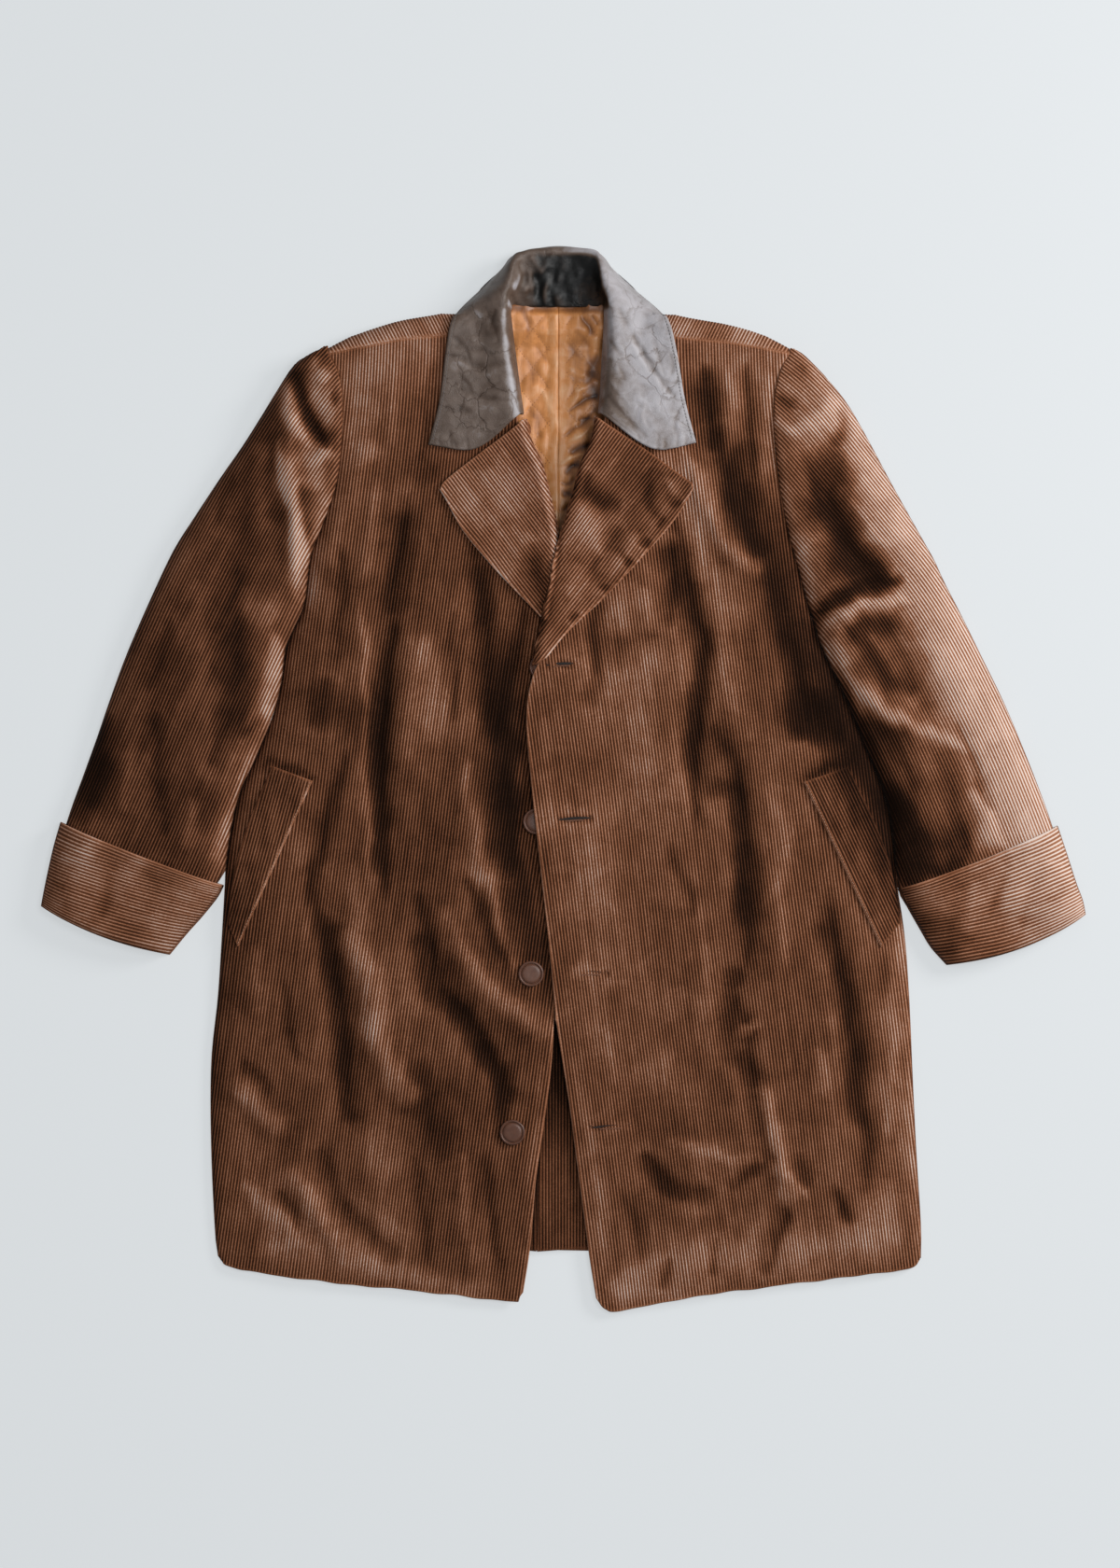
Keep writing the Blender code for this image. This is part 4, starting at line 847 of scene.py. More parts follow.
def edge_distance(grid):
    """How far each point is from the nearest edge of its grid, along its own row or column."""
    along = np.linalg.norm(np.diff(grid, axis=0, prepend=grid[:1]), axis=-1).cumsum(axis=0)
    across = np.linalg.norm(np.diff(grid, axis=1, prepend=grid[:, :1]), axis=-1).cumsum(axis=1)
    return np.minimum(np.minimum(along, along[-1:] - along), np.minimum(across, across[:, -1:] - across))


def flat_cut(grid):
    """Width, length and area of the cut that a grid was made from, in metres."""
    width = np.linalg.norm(np.diff(grid, axis=1), axis=-1).sum(axis=1).max()
    length = np.linalg.norm(np.diff(grid, axis=0), axis=-1).sum(axis=0).max()
    a, b = grid[1:, :-1] - grid[:-1, :-1], grid[:-1, 1:] - grid[:-1, :-1]
    c, d = grid[1:, :-1] - grid[1:, 1:], grid[:-1, 1:] - grid[1:, 1:]
    area = (np.linalg.norm(np.cross(a, b), axis=-1) + np.linalg.norm(np.cross(c, d), axis=-1)).sum() / 2
    area = min(max(area, 0.31 * width * length), 0.99 * width * length)
    return (round(float(width) * MM, 3), round(float(length) * MM, 3)), round(float(area) * MM * MM, 5)


class Cloth:
    """One cloth piece, gathered as points, their cloth coordinates and faces."""

    def __init__(self):
        self.points, self.cloth, self.wear, self.faces = [], [], [], []
        self.count = 0

    def add(self, points, cloth, wear):
        start = self.count
        self.points.append(points)
        self.cloth.append(cloth)
        self.wear.append(wear)
        self.count += len(points)
        return np.arange(start, self.count)

    def strip(self, a, b):
        """Faces between two closed loops of points."""
        c, d = np.roll(b, -1), np.roll(a, -1)
        self.faces.append(np.stack([a, b, c, d], axis=1))

    def make(self, name, slot):
        points, cloth, wear = (np.concatenate(part) for part in (self.points, self.cloth, self.wear))
        points[:, 2] = np.maximum(points[:, 2], 0)  # it lies on the surface
        quads = np.concatenate(self.faces)
        single = (quads[:, 0] == quads[:, 1]) | (quads[:, 1] == quads[:, 2]) | (quads[:, 2] == quads[:, 3])
        single |= quads[:, 3] == quads[:, 0]
        faces = quads[~single].tolist()
        for quad in quads[single].tolist():
            ring = [p for i, p in enumerate(quad) if p != quad[i - 1]]
            if len(ring) == 3:
                faces.append(ring)
        mesh = bpy.data.meshes.new(name)
        mesh.from_pydata((points * MM).tolist(), [], faces)
        mesh.validate()
        corner = np.empty(len(mesh.loops), np.int32)
        mesh.loops.foreach_get("vertex_index", corner)
        for layer, values in (("cloth", cloth), ("wear", wear)):
            mesh.uv_layers.new(name=layer).uv.foreach_set("vector", values[corner].astype(np.float32).ravel())
        mesh.shade_smooth()
        obj = bpy.data.objects.new(name, mesh)
        bpy.context.scene.collection.objects.link(obj)
        mesh.materials.append(MATERIALS[slot])
        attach(obj, "root")
        return obj


# Turned edge of a piece. Columns: how far out of the edge, how far under its face.
RIM = ((0.35, 0.6), (0.5, 1.3), (0.35, 2.1), (-0.2, 2.7))
THIN_RIM = ((0.3, 0.5), (0.4, 1.1), (0.2, 1.8), (-0.3, 2.3))
TURNED_IN, TURNED_SHARE = 7.0, 0.15  # how far an edge is turned in, or less on a narrow piece
ROOM_SHARE = 0.3  # and never more than this share of the piece's width there
EDGE_DROP, EDGE_ROUND = 0.7, 1.8  # how far a face drops at its edge, and from how far inside
RELIEF_FADE = 2.5  # the wales' relief begins over this distance from an edge
INSIDE_REACH = 20.0  # the wear layer also tells how far inside its piece a point is, up to this

# Columns that follow a side edge before the wales begin: distances from it, less on a row shorter than
# NEAR_SHRINK, and the least gap to the next column.
NEAR_EDGE = np.array([0.5, 1.3, 2.8])
NEAR_SHRINK, NEAR_GAP = 12.0, 0.2

# A piece's face: its grid of point numbers, and for each point its place, normal, cloth coordinates, wear and
# painted light, change of its place across the wales per millimetre, and the width of the piece there.
Face = namedtuple("Face", "index points normals cloth wear slope room")


def groove(s):
    """How deep the cloth is at a place across its wales: 0 on a wale, 1 between two."""
    ridge = 0.5 - 0.5 * np.cos(2 * math.pi * s / WALE)
    return 1 - ridge**0.55


def unit(vectors):
    return vectors / np.maximum(np.linalg.norm(vectors, axis=-1, keepdims=True), 1e-9)


def borders(index):
    """The point numbers round a grid of them, each once, and those of the points just inside."""
    ring = np.concatenate([index[0], index[1:, -1], index[-1, -2::-1], index[-2:0:-1, 0]])
    inside = np.concatenate([index[1], index[1:, -2], index[-2, -2::-1], index[-2:0:-1, 1]])
    once = ring != np.roll(ring, 1)
    return ring[once], inside[once]


def edge_drop(distance):
    """How far a face drops at this distance from its edge, to round the edge off."""
    return EDGE_DROP * (1 - np.clip(distance / EDGE_ROUND, 0, 1)) ** 2


def wear_and_light_layer(tone, distance):
    """The values of the wear layer: the tone, with its wear and painted light and shade, and how far inside
    the piece each point is.
    """
    return np.stack([tone, np.clip(distance / INSIDE_REACH, 0, 1)], axis=-1).reshape(-1, 2)


def turned_rim(piece, face, rim, most):
    """Turns a piece's edge under: rings of points that follow its outline, with its wales on round them."""
    loop, inside = borders(face.index)
    edge = face.points[loop]
    normal = face.normals[loop]
    for _ in range(3):
        normal = unit(np.roll(normal, 1, axis=0) + 2 * normal + np.roll(normal, -1, axis=0))
    out = unit(np.cross(np.roll(edge, -1, axis=0) - np.roll(edge, 1, axis=0), normal))
    if (out * (edge - face.points[inside])).sum() < 0:
        out = -out
    level = unit((out + normal) * (1, 1, 0))
    rise = (face.slope[loop] * out).sum(axis=1, keepdims=True)
    edge_wear_and_light = face.wear[loop] * (1, 0)
    before, last, travelled = loop, np.zeros(2), 0.0
    for step_out, depth in rim:
        travelled += math.hypot(step_out - last[0], depth - last[1])
        last = np.array([step_out, depth])
        ring = edge + step_out * out - depth * normal
        after = piece.add(ring, face.cloth[loop] + travelled * rise / WALE * (1, 0), edge_wear_and_light)
        piece.strip(before, after)
        before = after
    turned_in = np.minimum(most, ROOM_SHARE * face.room[loop])[:, None]
    travelled = travelled + turned_in
    cloth = face.cloth[loop] + travelled * rise / WALE * (1, 0)
    piece.strip(before, piece.add(ring - turned_in * level, cloth, edge_wear_and_light))


def slope_of(grid, s):
    """The change of s per millimetre at each point of a grid, as a vector along its face."""
    a, b = np.gradient(grid, axis=0), np.gradient(grid, axis=1)
    sa, sb = np.gradient(s, axis=0), np.gradient(s, axis=1)
    aa, ab, bb = (a * a).sum(-1), (a * b).sum(-1), (b * b).sum(-1)
    size = np.maximum(aa * bb - ab * ab, 1e-9)
    return a * ((bb * sa - ab * sb) / size)[..., None] + b * ((aa * sb - ab * sa) / size)[..., None]


def columns_on(s, arc, marks):
    """Where the columns of points cross one row: close to both edges, and on the wales' marks between them.

    Gives their places along the row, and the grid's numbers for the row. A mark too near an edge or past it
    takes the last column on its side.
    """
    total = arc[-1]
    near = NEAR_EDGE * min(1, total / NEAR_SHRINK)
    places = np.interp(marks, s, arc)
    inside = (places > near[-1] + NEAR_GAP) & (places < total - near[-1] - NEAR_GAP)
    at = np.concatenate([[0], near, places[inside], total - near[::-1], [total]])
    first, last = len(NEAR_EDGE), len(at) - 1 - len(NEAR_EDGE)
    numbers = np.where(places <= total / 2, first, last)
    numbers[inside] = first + 1 + np.arange(inside.sum())
    ends = np.arange(first + 1)
    return at, np.concatenate([ends, numbers, last + ends])


def woven(name, grid, s, t, wear, facing=1, rim=RIM, turned_in=TURNED_IN, nodes=()):
    """Corduroy over a grid of points: its columns run along the wales, which its edges cut off.

    s and t are each point's place in the cloth, across the wales and along them.
    """
    if s[:, -1].mean() < s[:, 0].mean():
        grid, s, t, wear = (part[:, ::-1] for part in (grid, s, t, wear))
    s = np.maximum.accumulate(s + np.arange(s.shape[1]) * 1e-6, axis=1)
    single = np.stack([s, t, wear, edge_distance(grid)], axis=-1)
    channels = np.concatenate([grid, surface_normals(grid, facing), single, slope_of(grid, s)], axis=-1)
    marks = np.arange(np.ceil(s.min() / STEP), np.floor(s.max() / STEP) + 1) * STEP
    arc = np.linalg.norm(np.diff(grid, axis=1, prepend=grid[:, :1]), axis=-1).cumsum(axis=1)
    level_width = np.linalg.norm(np.diff(grid[..., :2], axis=1), axis=-1).sum(axis=1)
    rows, room, index, count = [], [], [], 0
    for r, row in enumerate(channels):
        at, numbers = columns_on(s[r], arc[r], marks)
        rows.append(np.stack([np.interp(at, arc[r], row[:, k]) for k in range(row.shape[1])], axis=1))
        room.append(np.full(len(at), level_width[r]))
        index.append(count + numbers)
        count += len(at)
    data = np.concatenate(rows)
    normals, distance = unit(data[:, 3:6]), data[:, 9]
    down = RELIEF * groove(data[:, 6]) * smooth(distance, 0.0, RELIEF_FADE) + edge_drop(distance)
    face = Face(
        np.array(index), data[:, :3] - normals * down[:, None], normals, data[:, 6:8] / WALE,
        wear_and_light_layer(data[:, 8], distance), data[:, 10:13], np.concatenate(room),
    )
    finished(name, "corduroy", nodes, face, rim, turned_most(grid, turned_in))


def turned_most(grid, turned_in=TURNED_IN):
    """How far a piece's edge may be turned in, so that the strip stays small beside the piece."""
    (width, length), area = flat_cut(grid)
    return min(turned_in, TURNED_SHARE * area / (2 * MM * (width + length)))


def finished(name, slot, nodes, face, rim, most):
    piece = Cloth()
    piece.add(face.points, face.cloth, face.wear)
    index = face.index
    quads = np.stack([index[:-1, :-1], index[:-1, 1:], index[1:, 1:], index[1:, :-1]], axis=-1)
    piece.faces.append(quads.reshape(-1, 4))
    turned_rim(piece, face, rim, most)
    obj = piece.make(name, slot)
    if nodes:
        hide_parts(*nodes)


def smooth_sheet(name, grid, s, t, wear, slot, nodes=()):
    """Leather or satin over a grid of points, just as it is."""
    normals = surface_normals(grid, 1)
    distance = edge_distance(grid)
    points = (grid - normals * edge_drop(distance)[..., None]).reshape(-1, 3)
    widths = np.linalg.norm(np.diff(grid, axis=1), axis=-1).sum(axis=1)
    face = Face(
        np.arange(len(points)).reshape(grid.shape[:2]), points, normals.reshape(-1, 3),
        np.stack([s, t], axis=-1).reshape(-1, 2) / WALE, wear_and_light_layer(wear, distance),
        np.zeros((len(points), 3)), np.repeat(widths, grid.shape[1]),
    )
    finished(name, slot, nodes, face, THIN_RIM, turned_most(grid))


def ends_close(count, first=0.0012, growth=1.9):
    """Shares from 0 to 1, evenly apart but for a few close ones at both ends, which round the edges off."""
    close = first * growth ** np.arange(3)
    middle = np.linspace(close[-1] * growth, 1 - close[-1] * growth, count)
    return np.concatenate([[0], close, middle, 1 - close[::-1], [1]])


GRAIN_STEP = 4.0


def grain(name, xy):
    """The place of each point across the wales and along them, from one wale that leans as the table says."""
    start_x, start_y = LEAN_START[name]
    levels = np.arange(-640, 640, GRAIN_STEP)
    lean = np.radians(read(LEAN[name], levels))
    slope = np.tan(lean)
    line = np.concatenate([[0], np.cumsum((slope[1:] + slope[:-1]) / 2 * GRAIN_STEP)])
    line += start_x - np.interp(start_y, levels, line)
    length = np.concatenate([[0], np.cumsum(2 * GRAIN_STEP / (np.cos(lean[1:]) + np.cos(lean[:-1])))])
    x, y = xy[..., 0], xy[..., 1]
    nearest = y.copy()
    for _ in range(6):
        m = np.interp(nearest, levels, slope)
        nearest += ((y - nearest) + (x - np.interp(nearest, levels, line)) * m) / (1 + m * m)
    beside = x - np.interp(nearest, levels, line)
    return np.sign(beside) * np.hypot(beside, y - nearest), np.interp(nearest, levels, length)


def blurred(field, across, along):
    """A field of a grid, averaged over this many columns and rows each way."""
    for axis, reach in ((0, along), (1, across)):
        padded = np.pad(field, [(reach, reach) if k == axis else (0, 0) for k in (0, 1)], mode="edge")
        size = field.shape[axis]
        shifted = [np.take(padded, range(k, k + size), axis=axis) for k in range(2 * reach + 1)]
        field = sum(shifted) / len(shifted)
    return field


LIGHT_SIDE = np.array([0.92, 0.38])  # the way to the light, in the plan
TONE_RANGE = 6.0
LIGHTEST, DARKEST = 2.5, 2.7
FRONT_LIGHTEST = {"right": 1.3, "left": 1.65}


def nap_and_painted_light(grid, tone, across=6, along=2, facing_share=0.9, lightest=LIGHTEST):
    """The nap's tone as a share of its range, with painted light and shade: lighter where the face turns to
    the light, lighter on crests and darker in hollows.
    """
    facing = surface_normals(grid, 1)[..., :2] @ LIGHT_SIDE
    crest = grid[..., 2] - blurred(grid[..., 2], across, along)
    tone = tone + facing_share * np.clip(facing, -0.5, 0.6) + np.clip(0.8 * crest, -0.45, 0.45)
    limit = np.where(tone > 0, lightest, DARKEST)
    return np.clip(0.5 + limit * np.tanh(tone / limit) / TONE_RANGE, 0, 1)


FRONT_ROWS, FRONT_FINE = 165, 220
# Each front's tone, with painted light: the wearer's left front, towards the light, is lighter.
FRONT_TONE = {"right": 0.08, "left": 0.28}
FRONT_EDGE_LIGHTER, LAPEL_EDGE_LIGHTER, WELT_EDGE_LIGHTER = 0.8, 1.2, 1.0  # how much lighter the cloth is along an edge
EDGE_LIGHTER_WIDTH, WELT_LIGHTER_WIDTH = 2.6, 2.4
FOLD_TONE = 0.06  # painted light and shade: how much lighter a fold is for each millimetre of its height, and darker a trough
SHOULDER_LIGHT, SHOULDER_STRETCH = 0.45, (380, 450)
# The shade on a front beside its sleeve. Columns: y, tone.
SIDE_SHADE = {
    "right": ((-160, 0), (-110, -1.4), (0, -1.2), (60, 0), (120, -0.6), (230, 0), (440, 0)),
    "left": (
        (-160, 0), (-110, -3.0), (20, -4.0), (110, -3.8), (150, -3.0), (190, -1.6), (250, -1.8), (290, -1.0),
        (330, 0.7), (380, 0.9), (440, 0),
    ),
}
SIDE_SHADE_WIDTH = {"right": 9.0, "left": 21.0}


def side_shade(side, xy):
    own = (xy[..., 0] - CENTRE_X) * OUTWARD[side] > 0
    return read(SIDE_SHADE[side], xy[..., 1]) * bell(from_sides(xy), SIDE_SHADE_WIDTH[side]) * own


# A front's tone: the painted light and shade of its strokes, folds and side, on the nap's own tone.
def front_tone(side, xy):
    tone = strokes(STROKES[f"front_{side}"], xy)[1]
    tone = tone + FOLD_TONE * fold_height(FOLDS[side], xy) + FRONT_TONE[side]
    tone += side_shade(side, xy) + SHOULDER_LIGHT * smooth(xy[..., 1], *SHOULDER_STRETCH)
    from_edge = np.abs(xy[..., 0] - x_at(EDGE[side], xy[..., 1]))
    return tone + FRONT_EDGE_LIGHTER * bell(from_edge, EDGE_LIGHTER_WIDTH)


def make_front(side):
    u, v = ends_close(FRONT_FINE, 0.002), ends_close(FRONT_ROWS, 0.0007)
    hem = at_shares(HEM[side], u)
    hem[:, 1] += waves(hem, HEM_WAVE) * smooth(u, *HEM_STILL) * smooth(1 - u, *HEM_STILL)
    xy = patch(hem, at_shares(SHOULDER[side], u), at_shares(SIDE[side], v), at_shares(EDGE[side], v), u, v)
    height = front_top(side, xy)
    if side == "left":
        height = height + buttonhole_form(xy)
    grid = raised(xy, height)
    s, t = grain(f"front_{side}", xy)
    wear = nap_and_painted_light(grid, front_tone(side, xy), lightest=FRONT_LIGHTEST[side])
    woven(f"coat_front_{side}", grid, s + waves(xy, WANDER["front"]), t, wear, nodes=(f"front_{side}",))


PUCKER, PUCKER_WIDTH = 0.9, 6
SLIT_DEEP, SLIT_WIDTH = 2.2, 1.8


def buttonhole_form(xy):
    """A slit's trough, and the cloth drawn in beside it."""
    total = np.zeros(xy.shape[:-1])
    for x0, y0, x1, y1 in BUTTONHOLES:
        a, b = np.array([x0, y0], float), np.array([x1, y1], float)
        along = np.clip(((xy - a) @ (b - a)) / ((b - a) @ (b - a)), 0, 1)
        away = np.linalg.norm(xy - a - along[..., None] * (b - a), axis=-1)
        total += PUCKER * bell(away, PUCKER_WIDTH) - SLIT_DEEP * bell(away, SLIT_WIDTH)
    return total


BACK_COLUMNS, BACK_FLAT_ROWS, BACK_ROLL_ROWS = 160, 60, 26
FOLDED_LEAN = math.tan(math.radians(24))  # of the wales on the part that is rolled over
ROLL_UNDER = 0.4  # how far the roll stays below the front at their seam
BACK_TOP_LIGHTER, BACK_TOP_LIGHTER_STRETCH = 1.0, (5, 15)  # how much lighter the cloth is on top of the roll, and over which heights
BACK_TURNED_IN = 2.5


def back_top(side):
    """The back's upper edge in the plan: along the shoulder's seam, then along the neck to the centre."""
    seam = at_shares(SHOULDER[side], np.linspace(0, 1, BACK_COLUMNS))
    a, b, c = np.array([(CENTRE_X + OUTWARD[side] * away, seam[-1, 1] - drop) for away, drop in BACK_NECK])
    return np.vstack([seam, a, a + (b - a) * 0.5, b, b + (c - b) * 0.5, b + (c - b)])


def rolled_shoulder(side, top, away):
    """The back rolled over to the front, and how far aside its wales lean there."""
    under_front = front_height(side, top) - ROLL_UNDER
    height = np.where(away > ROLL_HEIGHT[-1][0], under_front, read(ROLL_HEIGHT, away))
    turns = np.radians(np.linspace(-90, 90, BACK_ROLL_ROWS + 1))[1:]
    reach = read(ROLL_REACH, away)
    rolled = np.stack([
        np.stack([top[:, 0], top[:, 1] + SEAM + reach * np.cos(a), height / 2 * (1 + np.sin(a))], axis=1)
        for a in turns
    ])
    furthest = top[:, 1] + SEAM + reach
    folded = np.where(turns[:, None] > 0, rolled[..., 1] - furthest[None], 0) * FOLDED_LEAN * -OUTWARD[side]
    return rolled, folded


def make_back(side):
    top = back_top(side)
    share = np.concatenate([[0], np.linalg.norm(np.diff(top, axis=0), axis=1).cumsum()])
    share /= share[-1]
    hem = at_shares(BACK_HEM[side], share)
    hem[-1, 0] = top[-1, 0]
    rows = ends_close(BACK_FLAT_ROWS, 0.0008)
    outer = at_shares(SIDE[side], rows)
    outer[0] = hem[0]
    centre = hem[-1] + (top[-1] - hem[-1]) * rows[:, None]
    xy = patch(hem, top, outer, centre, share, rows)
    rolled, folded = rolled_shoulder(side, top, np.abs(top[:, 0] - CENTRE_X))
    grid = np.concatenate([raised(xy, 0.0), rolled])
    s = np.concatenate([xy[..., 0], rolled[..., 0] + folded])
    steps = np.linalg.norm(np.diff(grid, axis=0), axis=-1)
    t = np.concatenate([np.zeros((1, grid.shape[1])), steps]).cumsum(axis=0)
    lightened = BACK_TOP_LIGHTER * smooth(grid[..., 2], *BACK_TOP_LIGHTER_STRETCH)
    wear = 0.5 + (lightened + waves(grid[..., :2], BACK_PATCHES)) / TONE_RANGE
    woven(f"coat_back_{side}", grid, s, t, wear, facing=-1, turned_in=BACK_TURNED_IN, nodes=(f"back_{side}",))


# Each sleeve's tone, with painted light: the wearer's left sleeve, towards the light, is lighter.
SLEEVE_TONE = {"right": -0.42, "left": 0.4}
SLEEVE_TUCK = 1.5  # how far its lower end goes in under the cuff
SLEEVE_SHEEN, SLEEVE_SHEEN_WIDTH = {"right": 0.2, "left": 2.9}, 54.0  # painted sheen along the outer edge
SLEEVE_SHEEN_FADE = (440, 360)
SLEEVE_ROUND_SHARE, CUFF_ROUND_SHARE = 0.46, 0.42  # the most of the width that is rounded at each edge


def sleeve_rows(side, rows):
    """The sleeve's table at smooth steps along it."""
    sign = OUTWARD[side]
    table = np.array([[np.nan if value is None else value for value in row] for row in SLEEVE[side]])
    beside = np.isnan(table[:, 1])
    table[beside, 1] = x_at(SIDE[side], table[beside, 0]) + sign * SEAM
    along = at_shares(table, rows, 6)
    y_beside = table[beside, 0]
    on_edge = (along[:, 0] < y_beside.max()) & (along[:, 0] > y_beside.min())
    along[on_edge, 1] = x_at(SIDE[side], along[on_edge, 0]) + sign * SEAM
    along[:, 1] -= sign * SLEEVE_TUCK * smooth(along[:, 0], -112, -92)
    along[:, 5] -= 0.8 * smooth(along[:, 0], 140, 200)
    return along


def sleeve_xy(rows, u):
    """x and y across a sleeve, from its inner edge outwards, and its width on each row."""
    inner, outer = rows[:, [1, 0]], rows[:, 2:4]
    width = np.linalg.norm(outer - inner, axis=1)[:, None]
    return inner[:, None] + (outer - inner)[:, None] * u[None, :, None], width


def make_sleeve(side):
    name = f"sleeve_{side}"
    u = ends_close(110, 0.006)
    rows = sleeve_rows(side, ends_close(130, 0.001))
    crown, low, stand = rows[:, 4, None], rows[:, 5, None], rows[:, 6, None]
    xy, width = sleeve_xy(rows, u)
    reach = np.minimum(SLEEVE_ROUND, width * SLEEVE_ROUND_SHARE)
    seat = stand + TRIM_WALL + SEAM
    low = np.maximum(low, seat)
    from_inner, from_outer = rounded(width * u, reach), rounded(width * (1 - u), reach)
    height = seat + (low + (crown - low) * from_inner - seat) * from_outer
    small, tone = strokes(STROKES[name], xy)
    folds = fold_height(SLEEVE_FOLDS[side], xy) + small + waves(xy, UNEVEN[name])
    folds *= np.minimum(from_inner, from_outer)
    grid = raised(xy, height + folds)
    s, t = grain(name, xy)
    s += waves(xy, WANDER["sleeve"])
    tone += FOLD_TONE * folds + SLEEVE_TONE[side]
    # Painted sheen along the outer edge, fading out towards the shoulder.
    painted_sheen = SLEEVE_SHEEN[side] * bell(width * (1 - u), SLEEVE_SHEEN_WIDTH)
    tone += painted_sheen * smooth(xy[..., 1], *SLEEVE_SHEEN_FADE)
    woven(f"coat_{name}_top", grid, s, t, nap_and_painted_light(grid, tone), nodes=(f"{name}_top",))


def make_sleeve_under(side):
    name = f"sleeve_{side}"
    rows = sleeve_rows(side, ends_close(60, 0.001))
    xy, _ = sleeve_xy(rows, np.linspace(0, 1, 24))
    grid = raised(xy, rows[:, 6, None])
    s, t = grain(name, xy)
    plain = np.full(s.shape, 0.5)
    woven(f"coat_{name}_under", grid, s, t, plain, facing=-1, rim=THIN_RIM, nodes=(f"{name}_under",))


def cuff_xy(side, u, v):
    """x and y of a cuff: v from its top edge to its fold, u from the inner edge outwards."""
    rows = at_shares(CUFF[side], v)
    inner, outer, bow = rows[:, :2], rows[:, 2:4], rows[:, 4]
    across = outer - inner
    hand = np.stack([across[:, 1], -across[:, 0]], axis=1)
    hand *= (np.sign(-hand[:, 1]) / np.linalg.norm(hand, axis=1))[:, None]
    arc = (4 * u * (1 - u))[None, :, None]
    return inner[:, None] + across[:, None] * u[None, :, None] + hand[:, None] * bow[:, None, None] * arc


# CUFF_SHEEN: painted sheen, lighter towards each cuff's outer side.
CUFF_TONE, CUFF_SHEEN = {"right": 0.8, "left": 0.5}, {"right": 0.2, "left": 2.9}
CUFF_WIDTH = 92.0  # of its cloth, from the top edge to the fold


def cuff_cloth(xy, v, t_across):
    """The place across the wales, which run round the arm, and along them."""
    s = np.repeat(v[:, None] * CUFF_WIDTH, xy.shape[1], axis=1)
    return s, np.broadcast_to(t_across, s.shape)


def turned_round(*parts):
    """Grids with their rows as columns."""
    return [np.swapaxes(part, 0, 1) for part in parts]


def make_cuff(side):
    """The turned-up cuff: its wales run round the arm, so its columns do too."""
    u, v = ends_close(70, 0.004), ends_close(40, 0.006)
    xy = cuff_xy(side, u, v)
    width = np.linalg.norm(xy[:, -1] - xy[:, 0], axis=1)[:, None]
    reach = np.minimum(SLEEVE_ROUND, width * CUFF_ROUND_SHARE)
    share = np.minimum(rounded(width * u, reach), rounded(width * (1 - u), reach))
    taper = (1 + (CUFF_TAPER - 1) * v)[:, None]
    fold = rounded((1 - v[:, None]) * 90, 7, 2.0)
    seat = TRIM_WALL + SEAM
    small, tone = strokes(STROKES[f"cuff_{side}"], xy)
    uneven = (waves(xy, UNEVEN[f"cuff_{side}"]) + small) * share
    height = seat + (CUFF_HEIGHT - seat) * share * taper * (0.72 + 0.28 * fold) + uneven
    grid = raised(xy, height)
    s, t = cuff_cloth(xy, v, width * u[None])
    tone += CUFF_TONE[side] + CUFF_SHEEN[side] * smooth(u, 0.25, 0.95)[None]
    parts = turned_round(grid, s + waves(xy, WANDER["cuff"]), t, nap_and_painted_light(grid, tone, facing_share=1.0))
    woven(f"coat_cuff_{side}_top", *parts, nodes=(f"cuff_{side}_top",), rim=THIN_RIM)


def make_cuff_under(side):
    u, v = np.linspace(0, 1, 30), ends_close(40, 0.006)
    edges = cuff_xy(side, ends_close(70, 0.004), v)
    width = np.linalg.norm(edges[:, -1] - edges[:, 0], axis=1)[:, None]
    xy = cuff_xy(side, u, v)
    s, t = cuff_cloth(xy, v, width * u[None])
    parts = turned_round(raised(xy, 0.0), s, t, np.full(s.shape, 0.5))
    woven(f"coat_cuff_{side}_under", *parts, facing=-1, nodes=(f"cuff_{side}_under",), rim=THIN_RIM)


def from_curve(points, xy):
    """How far each point is from the nearest of a curve's dense points."""
    return np.linalg.norm(xy[..., None, :] - curve(points), axis=-1).min(axis=-1)


def lapel_top(side, xy):
    """The height of a lapel's outer face, and how far each point is from its roll line."""
    resting = front_top(side, xy)
    if side == "left":
        inside = smooth(lapel_inside(xy), -1, 2)
        right_lapel = lapel_top("right", xy)[0] if inside.max() > 0 else 0
        resting = over(resting, np.where(inside > 0, right_lapel * inside, -100), 0.5)
    resting = resting + LAYER
    low = np.maximum(ROLL_LOW, resting) if side == "left" else np.full(resting.shape, ROLL_LOW)
    away = from_curve(LAPEL[side]["roll"], xy)
    rise = ROLL_RISE * bell(away, ROLL_RISE_WIDTH)
    standing = over(resting, body_height(xy) + LAYER, 0.5) + WALL + rise
    height = low + (standing - low) * rounded(away, ROLL_RADIUS, ROLL_POWER)
    return np.where(away > 1.5 * ROLL_RADIUS, np.maximum(height, resting + WALL), height), away


def lapel_inside(xy):
    """How far each point is inside the lower lapel, or minus how far outside its roll line."""
    roll, outer = LAPEL["right"]["roll"], LAPEL["right"]["outer"]
    y = xy[..., 1]
    inside = np.minimum(x_at(roll, y) - xy[..., 0], xy[..., 0] - x_at(outer, y))
    return np.where((y > roll[0][1]) & (y < roll[-1][1]), inside, -10)


LAPEL_LEAN = {"right": -37.5, "left": 38.0}
LAPEL_TONE = {"right": 1.0, "left": 0.3}


